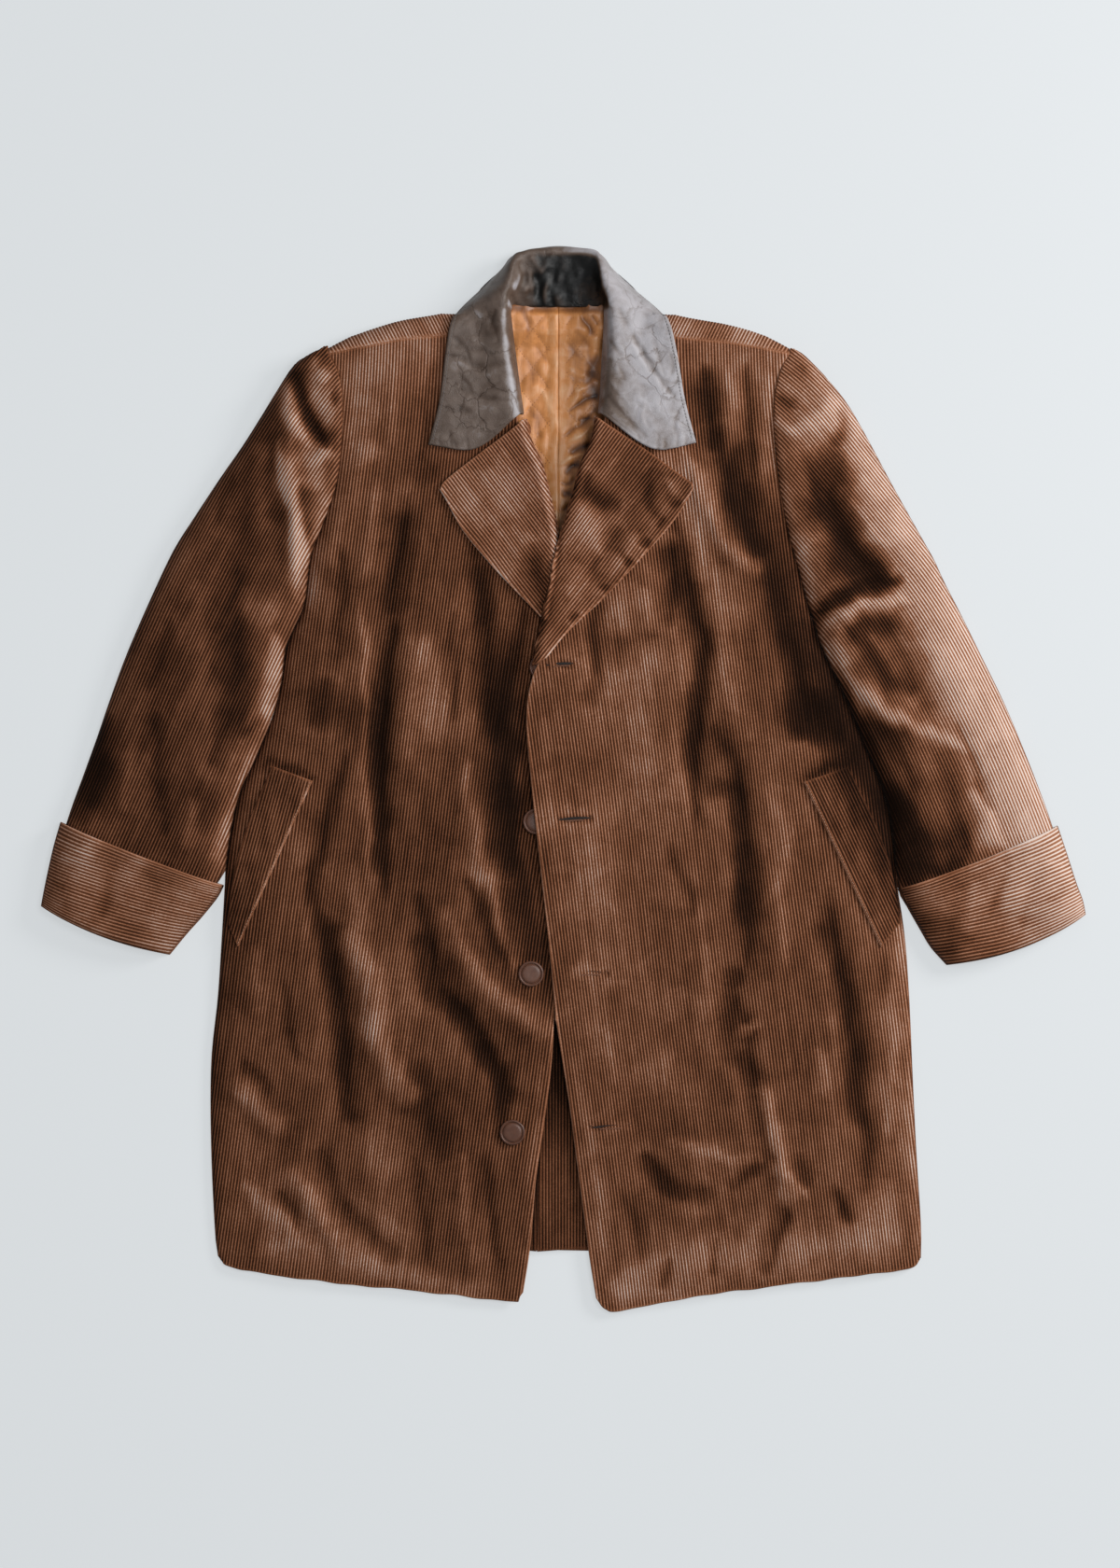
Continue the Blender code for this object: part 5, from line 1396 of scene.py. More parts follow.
def make_lapel(side):
    parts = LAPEL[side]
    u, v = ends_close(60, 0.006), ends_close(80, 0.003)
    outer, roll = at_shares(parts["outer"], v), at_shares(parts["roll"], v)
    bottom = outer[0] + (roll[0] - outer[0]) * u[:, None]
    xy = patch(bottom, at_shares(parts["top"], u), outer, roll, u, v)
    height, away = lapel_top(side, xy)
    folds, tone = strokes(STROKES[f"lapel_{side}"], xy)
    tone += LAPEL_TONE[side]
    tone += LAPEL_EDGE_LIGHTER * bell(from_curve(parts["outer"], xy), EDGE_LIGHTER_WIDTH)
    grid = raised(xy, height + folds * smooth(away, 4, 14))
    lean = math.radians(LAPEL_LEAN[side])
    s = xy[..., 0] * math.cos(lean) - xy[..., 1] * math.sin(lean) + waves(xy, WANDER["lapel"])
    t = xy[..., 0] * math.sin(lean) + xy[..., 1] * math.cos(lean)
    wear = nap_and_painted_light(grid, tone, across=3, along=3)
    woven(f"coat_lapel_{side}", grid, s, t, wear, rim=THIN_RIM, nodes=(f"lapel_{side}",))


def coat_top(xy):
    """The coat's outer face under the collar."""
    return np.where(xy[..., 0] < CENTRE_X, front_top("right", xy), front_top("left", xy))


def on_coat(xy):
    """Whether a point of the collar lies over a front or over the back's rolled shoulder."""
    x, y = xy[..., 0], xy[..., 1]
    seam_y = np.where(
        x < CENTRE_X, np.interp(x, *np.transpose(SHOULDER["right"])),
        np.interp(x, *np.transpose(SHOULDER["left"][::-1])),
    )
    reach = read(ROLL_REACH, np.abs(x - CENTRE_X))
    beside = np.where(x < CENTRE_X, x < x_at(EDGE["right"], y) - 2, x > x_at(EDGE["left"], y) + 2)
    return beside & (y < seam_y + reach - 3)


LEAF_Y = 500  # the leaves with their stitches and the painted highlight and shade along their roll are below this, and the stand above it
# The width of the stitches' groove, and of the painted light and shade along the roll as a share across the
# collar.
COLLAR_SEAM_WIDTH, ROLL_PAINTED_LIGHT_WIDTH = 0.9, 0.045


def collar_face(even, u):
    """The collar's face at shares along it and across, clear of the coat, and the roll's share across it."""
    stations = np.array([[[np.nan if p is None else p for p in point] for point in row] for row in COLLAR])
    resting = coat_top(stations[..., :2]) + LAYER + WALL + COLLAR_CLEAR
    stations[..., 2] = np.where(np.isnan(stations[..., 2]), resting, stations[..., 2])
    lines = np.stack([curve(stations[:, k], 20) for k in range(stations.shape[1])], axis=1)
    along = np.linalg.norm(np.diff(lines[:, 2], axis=0), axis=1).cumsum()
    along = np.concatenate([[0], along / along[-1]])
    lines = np.stack([
        np.stack([np.interp(even, along, lines[:, k, axis]) for axis in range(3)], axis=1)
        for k in range(lines.shape[1])
    ], axis=1)
    grid = np.stack([at_shares(row, u, 16) for row in lines])
    xy = grid[..., :2]
    covered = on_coat(xy) & (u > 0.08)
    grid[..., 2] = np.where(covered, over(grid[..., 2], coat_top(xy) + LAYER + WALL - 0.5), grid[..., 2])
    spans = np.linalg.norm(np.diff(lines, axis=1), axis=-1)
    return grid, (spans[:, 0] / spans.sum(axis=1))[:, None]


def collar_creases(xy, u):
    """The creases of the leaves and the gathers at their feet."""
    leaf = smooth(u, 0.16, 0.3)[None] * np.ones(xy.shape[:2])
    gathers = []
    for x, length in COLLAR_GATHERS:
        foot = 350 + 8 * abs(abs(x) - 100) / 40
        gathers.append((((x, foot), (x + 1.5 * math.copysign(1, x), foot + length)), 1.6, -0.7))
    return 0.7 * strokes(COLLAR_FOLDS, xy, 1.0)[0] * leaf + fold_height(gathers, xy) * leaf


def leaf_painted_light(xy, u, roll, creases, fine):
    """The leather's tone on the leaves, with painted light and shade: the left one lighter as it faces the
    light, lighter and darker on its creases and fine waves, a painted highlight along the right leaf's roll,
    and painted shade along the left leaf's roll and beside it.
    """
    x, y = xy[..., 0], xy[..., 1]
    tone = LEAF_TONE[0] + (LEAF_TONE[1] - LEAF_TONE[0]) * smooth(x, -30, 35)
    tone += 0.2 * np.tanh(creases) + 0.10 * fine
    tone -= 0.22 * bell(x - 50, 16) * smooth(y, 475, 430)
    rolled = bell(u[None] - roll, ROLL_PAINTED_LIGHT_WIDTH) * (y < LEAF_Y)
    return tone + rolled * np.where(x < CENTRE_X, 0.35, -0.1)


def stand_shade_and_highlights(xy, crumple):
    """The leather's tone on the stand: painted shade, lighter towards the wearer's right, with painted
    highlights on its crumples there.
    """
    x = xy[..., 0]
    crumple_highlights = 0.5 * smooth(crumple, 0.5, 2.2) * smooth(-x, 8, 34)
    shade_across = 0.05 + 0.6 * smooth(-x, 22, 50) - 0.08 * smooth(x, -8, 16)
    return shade_across + crumple_highlights + 0.05 * crumple


def make_collar():
    even, u = ends_close(210, 0.0012), ends_close(70, 0.006)
    grid, roll = collar_face(even, u)
    xy = grid[..., :2]
    creases = collar_creases(xy, u)
    stand = (1 - smooth(u[None], roll - 0.08, roll)) * smooth(xy[..., 1], 497, 506)
    crumple = waves(xy, *COLLAR_CRUMPLE) * (1 - 0.65 * smooth(xy[..., 0], -14, 8))
    fine = waves(xy, *COLLAR_FINE)
    distance = edge_distance(grid)
    sewn = COLLAR_SEAM_DEEP * bell(distance - COLLAR_SEAM, COLLAR_SEAM_WIDTH) * (xy[..., 1] < LEAF_Y)
    height = creases + crumple * stand + fine * smooth(distance, 1, 9) - sewn
    grid = grid + surface_normals(grid, 1) * height[..., None]
    grid[..., 2] = np.maximum(grid[..., 2], 0.2)
    s, t = np.meshgrid(u * 130, even * 700)
    leaf_tone = leaf_painted_light(xy, u, roll, creases, fine)
    wear = np.clip(leaf_tone + (stand_shade_and_highlights(xy, crumple) - leaf_tone) * stand, 0, 1)
    smooth_sheet("coat_collar", grid, s, t, wear, "leather", nodes=("collar",))
    return grid


def inset(line, away):
    """The point of a line of points this far from its end."""
    left = np.linalg.norm(np.diff(line[::-1], axis=0), axis=1).cumsum()
    return np.array([np.interp(away, np.concatenate([[0], left]), line[::-1, k]) for k in range(3)])


def collar_seams(grid):
    """The route of the stitches along each leaf's outer edge."""
    seam = np.array([inset(row, COLLAR_SEAM) for row in grid]) + (0, 0, 0.15)
    seam = seam[4:-4]
    low = seam[:, 1] < 520
    return [seam[low & (seam[:, 0] < CENTRE_X)], seam[low & (seam[:, 0] > CENTRE_X)]]


def welt_top(side, xy):
    return front_top(side, xy) + WELT_CLEAR + TRIM_WALL


# The groove along a welt's stitches: its depth, its distance from the inner edge and its width.
WELT_GROOVE, WELT_GROOVE_AT, WELT_GROOVE_WIDTH = 0.7, 9, 1.3
WELT_BULGE = 0.8


def make_welt(side):
    u, v = ends_close(30, 0.02), ends_close(60, 0.004)
    xy = four_sided(WELT[side], u, v)
    corners = np.array(WELT[side], float)
    axis = corners[1] - corners[0]
    axis /= np.linalg.norm(axis)
    across = np.array([axis[1], -axis[0]])
    bow = WELT_BOW * OUTWARD[side] * np.sin(np.pi * v**0.85)[:, None]
    xy[..., 0] += bow * (u[::-1] if side == "right" else u)[None]
    height = welt_top(side, xy) + WELT_BULGE * np.sin(np.pi * u)[None]
    s = (xy - corners[0]) @ across
    inner_edge = np.abs(s - s[:, -1:]) if side == "right" else np.abs(s - s[:, :1])
    grid = raised(xy, height - WELT_GROOVE * bell(inner_edge - WELT_GROOVE_AT, WELT_GROOVE_WIDTH))
    t = (xy - corners[0]) @ axis
    tone = waves(xy, WELT_PATCHES) + WELT_EDGE_LIGHTER * bell(inner_edge, WELT_LIGHTER_WIDTH)
    tone -= WELT_SHADE[side] * smooth(inner_edge, 20, 46)
    wear = 0.49 + tone / TONE_RANGE
    woven(f"coat_welt_{side}", grid, s, t, wear, rim=THIN_RIM, nodes=(f"welt_{side}",))
    inner = grid[:, ::-1] if side == "left" else grid
    return np.array([inset(row, WELT_SEAM) for row in inner[2:-2]]) + (0, 0, 0.1)


# The shade in the vent. Columns: its least, how much it gains, and between which y.
VENT_SHADE = {"right": (0.8, 1.7, -500, -400), "left": (0.0, 1.8, -430, -280)}
# VENT_DARK: painted shade over the whole of each facing, added to that of VENT_SHADE.
VENT_DARK = 0.25


def make_vent_facing(side):
    u, v = ends_close(20, 0.01), ends_close(40, 0.003)
    xy = np.swapaxes(four_sided(VENT_FACING[side], u, v), 0, 1)
    grid = raised(xy, SEAT + FACING_WALL + waves(xy, FACING_WAVE))
    least, gain, low, high = VENT_SHADE[side]
    depth = least + gain * smooth(xy[..., 1], low, high)
    wear = np.clip(0.5 - (VENT_DARK + depth) / TONE_RANGE, 0, 1)
    name = f"vent_facing_{side}"
    woven(f"coat_{name}", grid, xy[..., 0], xy[..., 1], wear, rim=THIN_RIM, nodes=(name,))


LINING_UNDER_COLLAR, LINING_UNDER_FRONT = 7.0, 12.0
LINING_TUCK, LINING_CORNER = 3.5, 1.4  # how far it goes down under the stand, and up at the stand's ends


def make_lining(side):
    sign, column = OUTWARD[side], 1 if side == "right" else 2
    y = np.linspace(LINING[0][0], LINING_TOP + LINING_UNDER_COLLAR, 190)
    start = CENTRE_X + sign * SEAM / 2
    outer = read(LINING, y, column) + sign * LINING_UNDER_FRONT
    x = start + (outer - start)[:, None] * np.linspace(0, 1, 54)[None, :]
    y = np.repeat(y[:, None], x.shape[1], axis=1)
    one_way = np.sin(np.pi * (x / QUILT_WIDTH + y / QUILT_LENGTH))
    other_way = np.sin(np.pi * (x / QUILT_WIDTH - y / QUILT_LENGTH))
    quilt = QUILT_SHARE * QUILT_RISE * np.abs(one_way * other_way) ** QUILT_POWER
    pleat = 1 - smooth(np.abs(x - CENTRE_X), PLEAT_FROM, PLEAT_TO)
    pleat_rise = PLEAT_RISE * pleat if side == "right" else 0
    tucked = smooth(y, 495, 502)
    corner = smooth(np.abs(x - CENTRE_X), 24, 34)
    base = SEAT + LINING_RAISE * smooth(y, 458, 482) - LINING_TUCK * tucked * (1 - corner)
    base += LINING_CORNER * corner * smooth(y, 484, 498)
    xy = np.stack([x, y], axis=-1)
    folds, tone = strokes(LINING_FOLDS, xy, 1.4)
    folds += (0.9 * smooth(x, -2, 14) if side == "left" else 0.3) * ripple(xy, 81, 14, 22)
    folds += 0.2 * ripple(xy, 82, 10, 26)
    top = base + LINING_WALL + np.maximum(quilt * (1 - pleat), pleat_rise) * (1 - tucked) + folds
    grid = np.stack([x, y, top], axis=-1)
    # The satin's tone, with painted light and shade: lighter on its folds, puffs and middle pleat, darker in
    # its wrinkles' troughs and where it goes in under the stand; then darker towards the wearer's left below
    # y 440.
    wear = 0.62 + tone + 0.07 * folds + 0.05 * np.tanh(quilt - 0.6) + 0.10 * pleat - 0.35 * tucked
    wear = np.clip(wear - 0.25 * smooth(x, 14, 40) * smooth(y, 440, 380), 0, 1)
    smooth_sheet(f"coat_lining_{side}", grid, x, y, wear, "lining", nodes=(f"lining_{side}",))
    return quilting_lines(grid)


def quilting_lines(grid):
    """The routes of the quilting's stitches over one lining, along both ways of its diamonds."""
    levels = grid[:, 0, 1]
    shown = (levels > QUILTED_FROM) & (levels < QUILTED_TO)
    rows, y = grid[shown], levels[shown]
    low, high = np.minimum(rows[:, 0, 0], rows[:, -1, 0]), np.maximum(rows[:, 0, 0], rows[:, -1, 0])
    routes = []
    for way in (-1, 1):
        for number in range(-14, 15):
            x = QUILT_WIDTH * (number + way * y / QUILT_LENGTH)
            inside = (x > low + 1) & (x < high - 1) & (np.abs(x - CENTRE_X) > PLEAT_TO / 2)
            if inside.sum() < 4:
                continue
            z = [np.interp(at, *(row[:, [0, 2]][np.argsort(row[:, 0])].T)) for at, row in zip(x, rows)]
            routes.append(np.stack([x, y, z], axis=1)[inside])
    return routes


# ---------------------------------------------------------------- buttons and sewing

# Side of a button, from its back up and over. Columns: radius, height.
BUTTON_SIDE = (
    (0, 0), (9.5, 0), (11.6, 0.4), (13.0, 1.2), (13.7, 2.4), (13.55, 3.2), (13.0, 3.8), (12.3, 4.1),
    (11.7, 3.9), (11.2, 3.3), (10.9, 2.7), (10.5, 2.6), (10.2, 3.0), (9.9, 3.6), (9.2, 4.0), (7.5, 4.15),
    (4.0, 4.1), (0, 4.0),
)
BUTTON_TURNS = 72


def plain_object(name, points, faces, slot, nodes=()):
    mesh = bpy.data.meshes.new(name)
    mesh.from_pydata((np.asarray(points) * MM).tolist(), [], faces)
    mesh.shade_smooth()
    mesh.materials.append(MATERIALS[slot])
    obj = bpy.data.objects.new(name, mesh)
    bpy.context.scene.collection.objects.link(obj)
    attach(obj, "root")
    if nodes:
        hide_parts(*nodes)


def make_button(number, tilt):
    node = f"button_{number}"
    low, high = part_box(node)
    centre = np.array([(low[0] + high[0]) / 2, (low[1] + high[1]) / 2, low[2]]) / MM
    turns = np.linspace(0, 2 * math.pi, BUTTON_TURNS, endpoint=False)
    circle = np.stack([np.cos(turns), np.sin(turns), np.zeros(BUTTON_TURNS)], axis=1)
    lift = np.array([0, 0, 1.0])
    rings = [radius * circle + height * lift for radius, height in BUTTON_SIDE[1:-1]]
    points = np.vstack([[BUTTON_SIDE[0][1] * lift], *rings, [BUTTON_SIDE[-1][1] * lift]])
    points[:, 2] += tilt * points[:, 0] / BUTTON_RADIUS
    points = points + centre
    ring = np.arange(BUTTON_TURNS) + 1
    around = np.roll(ring, -1)
    last = (len(rings) - 1) * BUTTON_TURNS
    faces = [(0, int(b), int(a)) for a, b in zip(ring, around)]
    for start in range(0, last, BUTTON_TURNS):
        nxt = start + BUTTON_TURNS
        faces += [(int(start + a), int(start + b), int(nxt + b), int(nxt + a)) for a, b in zip(ring, around)]
    faces += [(int(last + a), int(last + b), len(points) - 1) for a, b in zip(ring, around)]
    plain_object(f"coat_{node}", points, faces, "button", nodes=(node,))


def stitches(name, routes, slot="thread", length=2.6, pitch=3.6, radius=0.32):
    """Rows of stitches along routes of (x, y, z) points, joined in one mesh."""
    section = [(0.0, -1.0), (0.25, -0.1), (0.5, 0.35), (0.75, -0.1), (1.0, -1.0)]
    points, faces = [], []
    for route in routes:
        line = np.asarray(route, float)
        along = np.concatenate([[0], np.linalg.norm(np.diff(line, axis=0), axis=1).cumsum()])
        for start in np.arange(0.4, along[-1] - length, pitch):
            base = len(points)
            for share, rise in section:
                at = start + share * length
                p = np.array([np.interp(at, along, line[:, k]) for k in range(3)])
                q = np.array([np.interp(at + 0.3, along, line[:, k]) for k in range(3)])
                d = (q - p) / max(np.linalg.norm(q - p), 1e-6)
                side = np.array([-d[1], d[0], 0.0])
                for turn in range(6):
                    a = turn * math.pi / 3
                    offset = side * math.cos(a) + np.array([0, 0, 1]) * math.sin(a)
                    points.append(p + np.array([0, 0, rise * radius]) + offset * radius)
            for ring in range(len(section) - 1):
                for turn in range(6):
                    a, b = base + ring * 6 + turn, base + ring * 6 + (turn + 1) % 6
                    faces.append((a, b, b + 6, a + 6))
    plain_object(name, points, faces, slot)


def make_buttonholes():
    """Each slit's mouth, a dark sheet of painted shade, and the thread that binds its two lips."""
    points, faces, binding = [], [], []
    for x0, y0, x1, y1 in BUTTONHOLES:
        a, b = np.array([x0, y0], float), np.array([x1, y1], float)
        along = (b - a) / np.linalg.norm(b - a)
        across = np.array([-along[1], along[0]])
        shares = np.linspace(0, 1, 25)
        middle = a + (b - a) * shares[:, None] + across * (0.8 * np.sin(np.pi * shares) - 0.3)[:, None]
        half = 1.35 * np.sin(np.pi * shares) ** 0.5 + 0.05
        start = len(points)
        for sign in (-1, 1):
            edge = middle + sign * across * half[:, None]
            top = left_front_top(edge) + buttonhole_form(edge) + 0.35
            points += np.concatenate([edge, top[:, None]], axis=1).tolist()
        faces += [(start + i, start + i + 1, start + 26 + i, start + 25 + i) for i in range(24)]
        for sign in (-1, 1):
            for share in np.linspace(0.01, 0.99, int(np.linalg.norm(b - a) / 0.8)):
                root = a + (b - a) * share + across * (0.8 * math.sin(math.pi * share) - 0.3)
                ends = np.array([root + sign * across * 1.2, root + sign * across * 3.0])
                top = left_front_top(ends) + buttonhole_form(ends) + 0.45
                binding.append(np.concatenate([ends, top[:, None]], axis=1))
    plain_object("buttonhole_slits", points, faces, "slit")
    stitches("buttonhole_binding", binding, length=1.8, pitch=9.0, radius=0.36)


# ---------------------------------------------------------------- materials


class Nodes:
    """Shorthand for a material's nodes."""

    def __init__(self, name):
        self.mat = bpy.data.materials.new(name)
        self.mat.use_nodes = True
        self.tree = self.mat.node_tree
        self.shader = self.tree.nodes["Principled BSDF"]

    def node(self, kind, **settings):
        made = self.tree.nodes.new(kind)
        for key, value in settings.items():
            setattr(made, key, value)
        return made

    def link(self, a, b):
        self.tree.links.new(a, b)

    def value(self, socket, given):
        if isinstance(given, bpy.types.NodeSocket):
            self.link(given, socket)
        else:
            socket.default_value = given

    def uv(self, layer):
        split = self.node("ShaderNodeSeparateXYZ")
        self.link(self.node("ShaderNodeUVMap", uv_map=layer).outputs[0], split.inputs[0])
        return split.outputs[0], split.outputs[1]

    def math(self, operation, a, b=0.0, clamp=False):
        made = self.node("ShaderNodeMath", operation=operation, use_clamp=clamp)
        self.value(made.inputs[0], a)
        self.value(made.inputs[1], b)
        return made.outputs[0]

    def vector(self, x, y, z=0.0):
        made = self.node("ShaderNodeCombineXYZ")
        for socket, given in zip(made.inputs, (x, y, z)):
            self.value(socket, given)
        return made.outputs[0]

    def stretched(self, across, by_across, along, by_along):
        return self.vector(self.math("MULTIPLY", across, by_across), self.math("MULTIPLY", along, by_along))

    def noise(self, vector, scale, detail=3.0, rough=0.5, distortion=0.0):
        made = self.node("ShaderNodeTexNoise")
        self.link(vector, made.inputs["Vector"])
        made.inputs["Scale"].default_value = scale
        made.inputs["Detail"].default_value = detail
        made.inputs["Roughness"].default_value = rough
        made.inputs["Distortion"].default_value = distortion
        return made.outputs["Fac"]

    def ranged(self, given, low, high, to_low=0.0, to_high=1.0, smoothed=False):
        made = self.node("ShaderNodeMapRange", interpolation_type="SMOOTHSTEP" if smoothed else "LINEAR")
        for socket, value in zip(made.inputs, (given, low, high, to_low, to_high)):
            self.value(socket, value)
        return made.outputs[0]

    def mix(self, share, a, b, blend="MIX"):
        made = self.node("ShaderNodeMix", data_type="RGBA", blend_type=blend)
        self.value(made.inputs[0], share)
        self.value(made.inputs[6], a)
        self.value(made.inputs[7], b)
        return made.outputs[2]

    def ramp(self, share, stops):
        made = self.node("ShaderNodeValToRGB")
        elements = made.color_ramp.elements
        elements.remove(elements[-1])
        for k, (position, colour) in enumerate(stops):
            stop = elements[0] if k == 0 else elements.new(position)
            stop.position = position
            stop.color = colour
        self.link(share, made.inputs[0])
        return made.outputs[0]

    def bump(self, height, strength, distance):
        made = self.node("ShaderNodeBump")
        made.inputs["Strength"].default_value = strength
        made.inputs["Distance"].default_value = distance
        self.link(height, made.inputs["Height"])
        self.link(made.outputs[0], self.shader.inputs["Normal"])


def place(nodes):
    return nodes.node("ShaderNodeTexCoord").outputs["Object"]


# Corduroy's colours from its darkest tone, for painted shade, to its lightest, which turns grey for the worn
# nap and for painted sheen. Columns: tone, colour.
NAP_AND_PAINTED_LIGHT_COLOURS = (
    (-3, (0.0045, 0.0017, 0.0008, 1)),
    (-2, (0.013, 0.0047, 0.0020, 1)),
    (-1, (0.043, 0.0152, 0.0068, 1)),
    (0, (0.104, 0.0370, 0.0164, 1)),
    (1, (0.202, 0.082, 0.041, 1)),
    (1.6, (0.290, 0.140, 0.085, 1)),
    (2, (0.360, 0.230, 0.174, 1)),
    (2.5, (0.420, 0.330, 0.285, 1)),
    (3, (0.48, 0.385, 0.335, 1)),
)


def corduroy_material():
    m = Nodes("corduroy")
    across, along = m.uv("cloth")
    worn_and_lit, inside = m.uv("wear")
    wave = m.math("COSINE", m.math("MULTIPLY", across, 2 * math.pi))
    pile = m.ranged(wave, 1.0, -0.5, 1.0, 0.0, smoothed=True)
    tufts = m.noise(m.stretched(across, 1.1, along, 1.6), 1.0, 3.0, 0.6)
    streaks = m.noise(m.stretched(across, 0.45, along, 0.03), 1.0, 3.0, 0.7)
    patches = m.noise(place(m), 26.0, 4.0, 0.6, 0.4)
    broad = m.noise(place(m), 7.0, 2.0, 0.5)
    # The tone of its layer, which holds painted light and shade, with random tufts, streaks and patches over
    # it.
    tone = m.math("MULTIPLY", m.math("SUBTRACT", worn_and_lit, 0.5), TONE_RANGE)
    for texture, amount in ((tufts, 0.35), (streaks, 0.4), (patches, 0.5), (broad, 0.35)):
        tone = m.math("ADD", tone, m.ranged(texture, 0.25, 0.75, -amount, amount))
    tone = m.math("ADD", tone, m.ranged(inside, 0.0, 0.12, 0.35, 0.0))
    in_cloth = m.ranged(inside, 0.02, 0.16, 0.25, 1.0)
    tone = m.math("ADD", tone, m.math("MULTIPLY", m.ranged(pile, 0.0, 1.0, -1.55, 0.72), in_cloth))
    stops = [((level + TONE_RANGE / 2) / TONE_RANGE, colour) for level, colour in NAP_AND_PAINTED_LIGHT_COLOURS]
    m.link(m.ramp(m.ranged(tone, -TONE_RANGE / 2, TONE_RANGE / 2), stops), m.shader.inputs["Base Color"])
    m.shader.inputs["Roughness"].default_value = 0.88
    m.shader.inputs["Specular IOR Level"].default_value = 0.04
    m.shader.inputs["Sheen Weight"].default_value = 0.03
    m.shader.inputs["Sheen Roughness"].default_value = 0.4
    m.shader.inputs["Sheen Tint"].default_value = (1.0, 0.80, 0.70, 1)
    m.bump(m.math("SUBTRACT", m.math("MULTIPLY", tufts, 0.5), pile), 0.5, 0.0004)
    return m.mat


def leather_material():
    m = Nodes("leather")
    worn_and_lit, _ = m.uv("wear")
    grain_cells = m.node("ShaderNodeTexVoronoi", feature="DISTANCE_TO_EDGE")
    m.link(place(m), grain_cells.inputs["Vector"])
    grain_cells.inputs["Scale"].default_value = 650.0
    cells = m.ranged(grain_cells.outputs["Distance"], 0.0, 0.25)
    crinkle = m.noise(place(m), 70.0, 6.0, 0.65, 0.6)
    broad = m.noise(place(m), 16.0, 3.0)
    bent = m.node("ShaderNodeVectorMath", operation="ADD")
    m.link(place(m), bent.inputs[0])
    m.link(m.vector(m.math("MULTIPLY", broad, 0.05), m.math("MULTIPLY", crinkle, 0.03)), bent.inputs[1])
    lines = m.node("ShaderNodeTexVoronoi", feature="DISTANCE_TO_EDGE")
    m.link(bent.outputs[0], lines.inputs["Vector"])
    lines.inputs["Scale"].default_value = 30.0
    creased = m.ranged(lines.outputs["Distance"], 0.0, 0.045, 1.0, 0.0, smoothed=True)
    creased = m.math("MULTIPLY", creased, m.ranged(broad, 0.42, 0.62))
    tone = m.math("ADD", m.ranged(broad, 0.3, 0.7, -0.12, 0.12), m.ranged(crinkle, 0.3, 0.7, -0.1, 0.1))
    # The crease lines drawn darker: painted shade in them.
    tone = m.math("SUBTRACT", tone, m.math("MULTIPLY", creased, 0.16))
    light = m.math("ADD", tone, worn_and_lit, clamp=True)
    # From near black, the stand's painted shade, to a light grey, the left leaf's painted reflection.
    ramp = m.ramp(light, ((0.0, (0.0020, 0.0017, 0.0013, 1)), (0.35, (0.038, 0.022, 0.014, 1)),
                          (0.65, (0.094, 0.067, 0.053, 1)), (1.0, (0.28, 0.265, 0.275, 1))))
    m.link(ramp, m.shader.inputs["Base Color"])
    m.link(m.ranged(crinkle, 0.3, 0.7, 0.34, 0.5), m.shader.inputs["Roughness"])
    m.shader.inputs["Specular IOR Level"].default_value = 0.25
    height = m.math("ADD", m.math("MULTIPLY", crinkle, 1.0), m.math("MULTIPLY", cells, 0.12))
    m.bump(m.math("SUBTRACT", height, m.math("MULTIPLY", creased, 0.5)), 0.5, 0.0015)
    return m.mat


def satin_material():
    m = Nodes("lining")
    across, along = m.uv("cloth")
    worn_and_lit, _ = m.uv("wear")
    threads = m.noise(m.stretched(across, 3.0, along, 0.25), 1.0, 2.0)
    crush = m.noise(place(m), 60.0, 4.0, 0.6, 0.8)
    tone = m.math("ADD", worn_and_lit, m.ranged(crush, 0.3, 0.7, -0.1, 0.1))
    tone = m.math("ADD", tone, m.ranged(threads, 0.3, 0.7, -0.04, 0.04), clamp=True)
    ramp = m.ramp(tone, ((0.0, (0.035, 0.010, 0.003, 1)), (0.35, (0.21, 0.075, 0.021, 1)),
                         (0.65, (0.46, 0.185, 0.056, 1)), (1.0, (0.60, 0.39, 0.24, 1))))
    m.link(ramp, m.shader.inputs["Base Color"])
    m.shader.inputs["Roughness"].default_value = 0.42
    m.shader.inputs["Specular IOR Level"].default_value = 0.35
    m.shader.inputs["Anisotropic"].default_value = 0.4
    m.shader.inputs["Sheen Weight"].default_value = 0.05
    m.shader.inputs["Sheen Tint"].default_value = (1.0, 0.8, 0.6, 1)
    m.bump(m.math("ADD", crush, m.math("MULTIPLY", threads, 0.2)), 0.4, 0.001)
    return m.mat


def button_material():
    m = Nodes("button")
    marble = m.noise(place(m), 90.0, 4.0, 0.6, 1.5)
    m.link(m.mix(m.ranged(marble, 0.3, 0.7), COLOURS["button"], COLOURS["button_rim"]),
           m.shader.inputs["Base Color"])
    m.link(m.ranged(m.noise(place(m), 300.0), 0.3, 0.7, 0.34, 0.45), m.shader.inputs["Roughness"])
    m.shader.inputs["Specular IOR Level"].default_value = 0.3
    return m.mat


def thread_material(name):
    m = Nodes(name)
    fibre = m.noise(place(m), 900.0, 2.0)
    m.link(m.mix(fibre, COLOURS[name], COLOURS[f"{name}_high"]), m.shader.inputs["Base Color"])
    m.shader.inputs["Roughness"].default_value = 0.7
    return m.mat


# Near black, for painted shade in the buttonholes' slits.
def slit_material():
    m = Nodes("slit")
    fibre = m.noise(place(m), 700.0, 2.0)
    m.link(m.mix(fibre, COLOURS["slit"], COLOURS["slit_edge"]), m.shader.inputs["Base Color"])
    m.shader.inputs["Roughness"].default_value = 0.95
    return m.mat


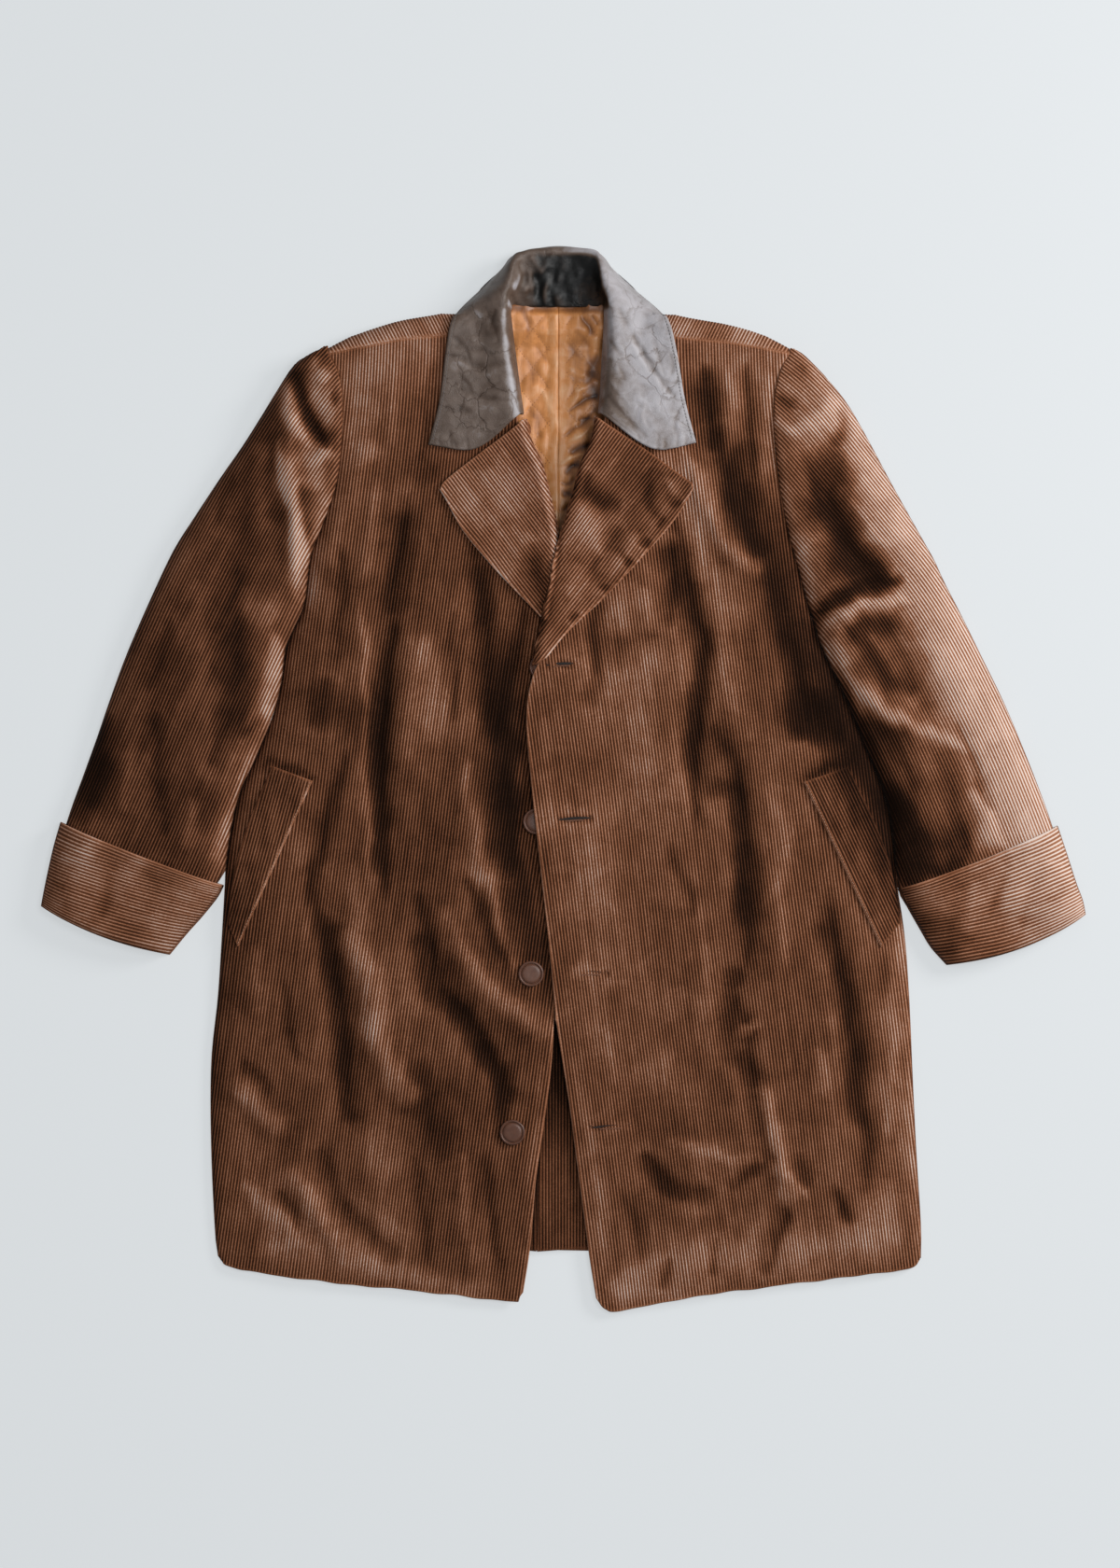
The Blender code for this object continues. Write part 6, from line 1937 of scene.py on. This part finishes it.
def floor_material():
    m = Nodes("floor")
    m.shader.inputs["Base Color"].default_value = (0.15, 0.155, 0.16, 1)
    m.shader.inputs["Roughness"].default_value = 0.95
    m.shader.inputs["Specular IOR Level"].default_value = 0.1
    m.shader.inputs["Emission Color"].default_value = (0.942, 0.98, 1.0, 1)
    m.shader.inputs["Emission Strength"].default_value = 0.565
    return m.mat


MATERIALS = {}
THREADS = ("thread", "light_thread", "leather_thread", "satin_thread")


def make_materials():
    MATERIALS.update({
        "corduroy": corduroy_material(), "leather": leather_material(), "lining": satin_material(),
        "button": button_material(), "slit": slit_material(), "floor": floor_material(),
    })
    MATERIALS.update({name: thread_material(name) for name in THREADS})


# ---------------------------------------------------------------- stage

CAMERA_DISTANCE = 5.0
CAMERA_PLANE = 0.012  # height at which a millimetre is one pixel of the photograph
FRAME_LONG = 1.680
CAMERA_X, CAMERA_Y = -0.003, -0.007


def make_camera():
    data = bpy.data.cameras.new("camera")
    data.sensor_fit = "AUTO"
    data.sensor_width = 36.0
    data.lens = 36.0 * (CAMERA_DISTANCE - CAMERA_PLANE) / FRAME_LONG
    data.clip_end = 50.0
    camera = bpy.data.objects.new("camera", data)
    camera.location = (CAMERA_X, CAMERA_Y, CAMERA_DISTANCE)
    bpy.context.scene.collection.objects.link(camera)
    bpy.context.scene.camera = camera


# Lights. Columns: name, place, size, power, colour.
LIGHTS = (
    ("key", (2.6, 1.2, 1.7), 1.2, 112.0, (1.0, 0.985, 0.965)),
    ("top", (0.85, 0.3, 2.9), 1.0, 44.0, (0.96, 0.98, 1.0)),
)
WORLD_COLOUR, WORLD_STRENGTH = (0.90, 0.95, 1.0, 1), 0.42


def make_lights():
    for name, where, size, power, colour in LIGHTS:
        data = bpy.data.lights.new(name, "AREA")
        data.shape = "DISK"
        data.size = size
        data.energy = power
        data.color = colour
        light = bpy.data.objects.new(name, data)
        x, y, z = where
        light.location = where
        light.rotation_euler = (math.atan2(math.hypot(x, y), z), 0, math.atan2(y, x) + math.pi / 2)
        bpy.context.scene.collection.objects.link(light)
    world = bpy.data.worlds.new("world")
    world.use_nodes = True
    background = world.node_tree.nodes["Background"]
    background.inputs["Color"].default_value = WORLD_COLOUR
    background.inputs["Strength"].default_value = WORLD_STRENGTH
    bpy.context.scene.world = world
    bpy.context.scene.view_settings.view_transform = "Standard"


def make_floor():
    mesh = bpy.data.meshes.new("floor")
    half, low = 6.0, -0.0006
    corners = [(-half, -half, low), (half, -half, low), (half, half, low), (-half, half, low)]
    mesh.from_pydata(corners, [], [(0, 1, 2, 3)])
    mesh.materials.append(MATERIALS["floor"])
    floor = bpy.data.objects.new("floor", mesh)
    bpy.context.scene.collection.objects.link(floor)


def main():
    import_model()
    make_materials()
    quilting = []
    for side in ("right", "left"):
        make_back(side)
        make_vent_facing(side)
        quilting += make_lining(side)
        make_front(side)
        make_sleeve(side)
        make_sleeve_under(side)
        make_cuff(side)
        make_cuff_under(side)
        make_lapel(side)
    stitches("quilting_stitches", quilting, slot="satin_thread", length=2.0, pitch=3.6, radius=0.28)
    stitches("welt_stitching", [make_welt(side) for side in ("right", "left")], slot="light_thread")
    stitches("collar_stitching", collar_seams(make_collar()), slot="leather_thread")
    for number, tilt in ((1, 0.9), (2, 0.0), (3, 0.2), (4, 0.0)):
        make_button(number, tilt)
    make_buttonholes()
    make_floor()
    make_lights()
    make_camera()


main()
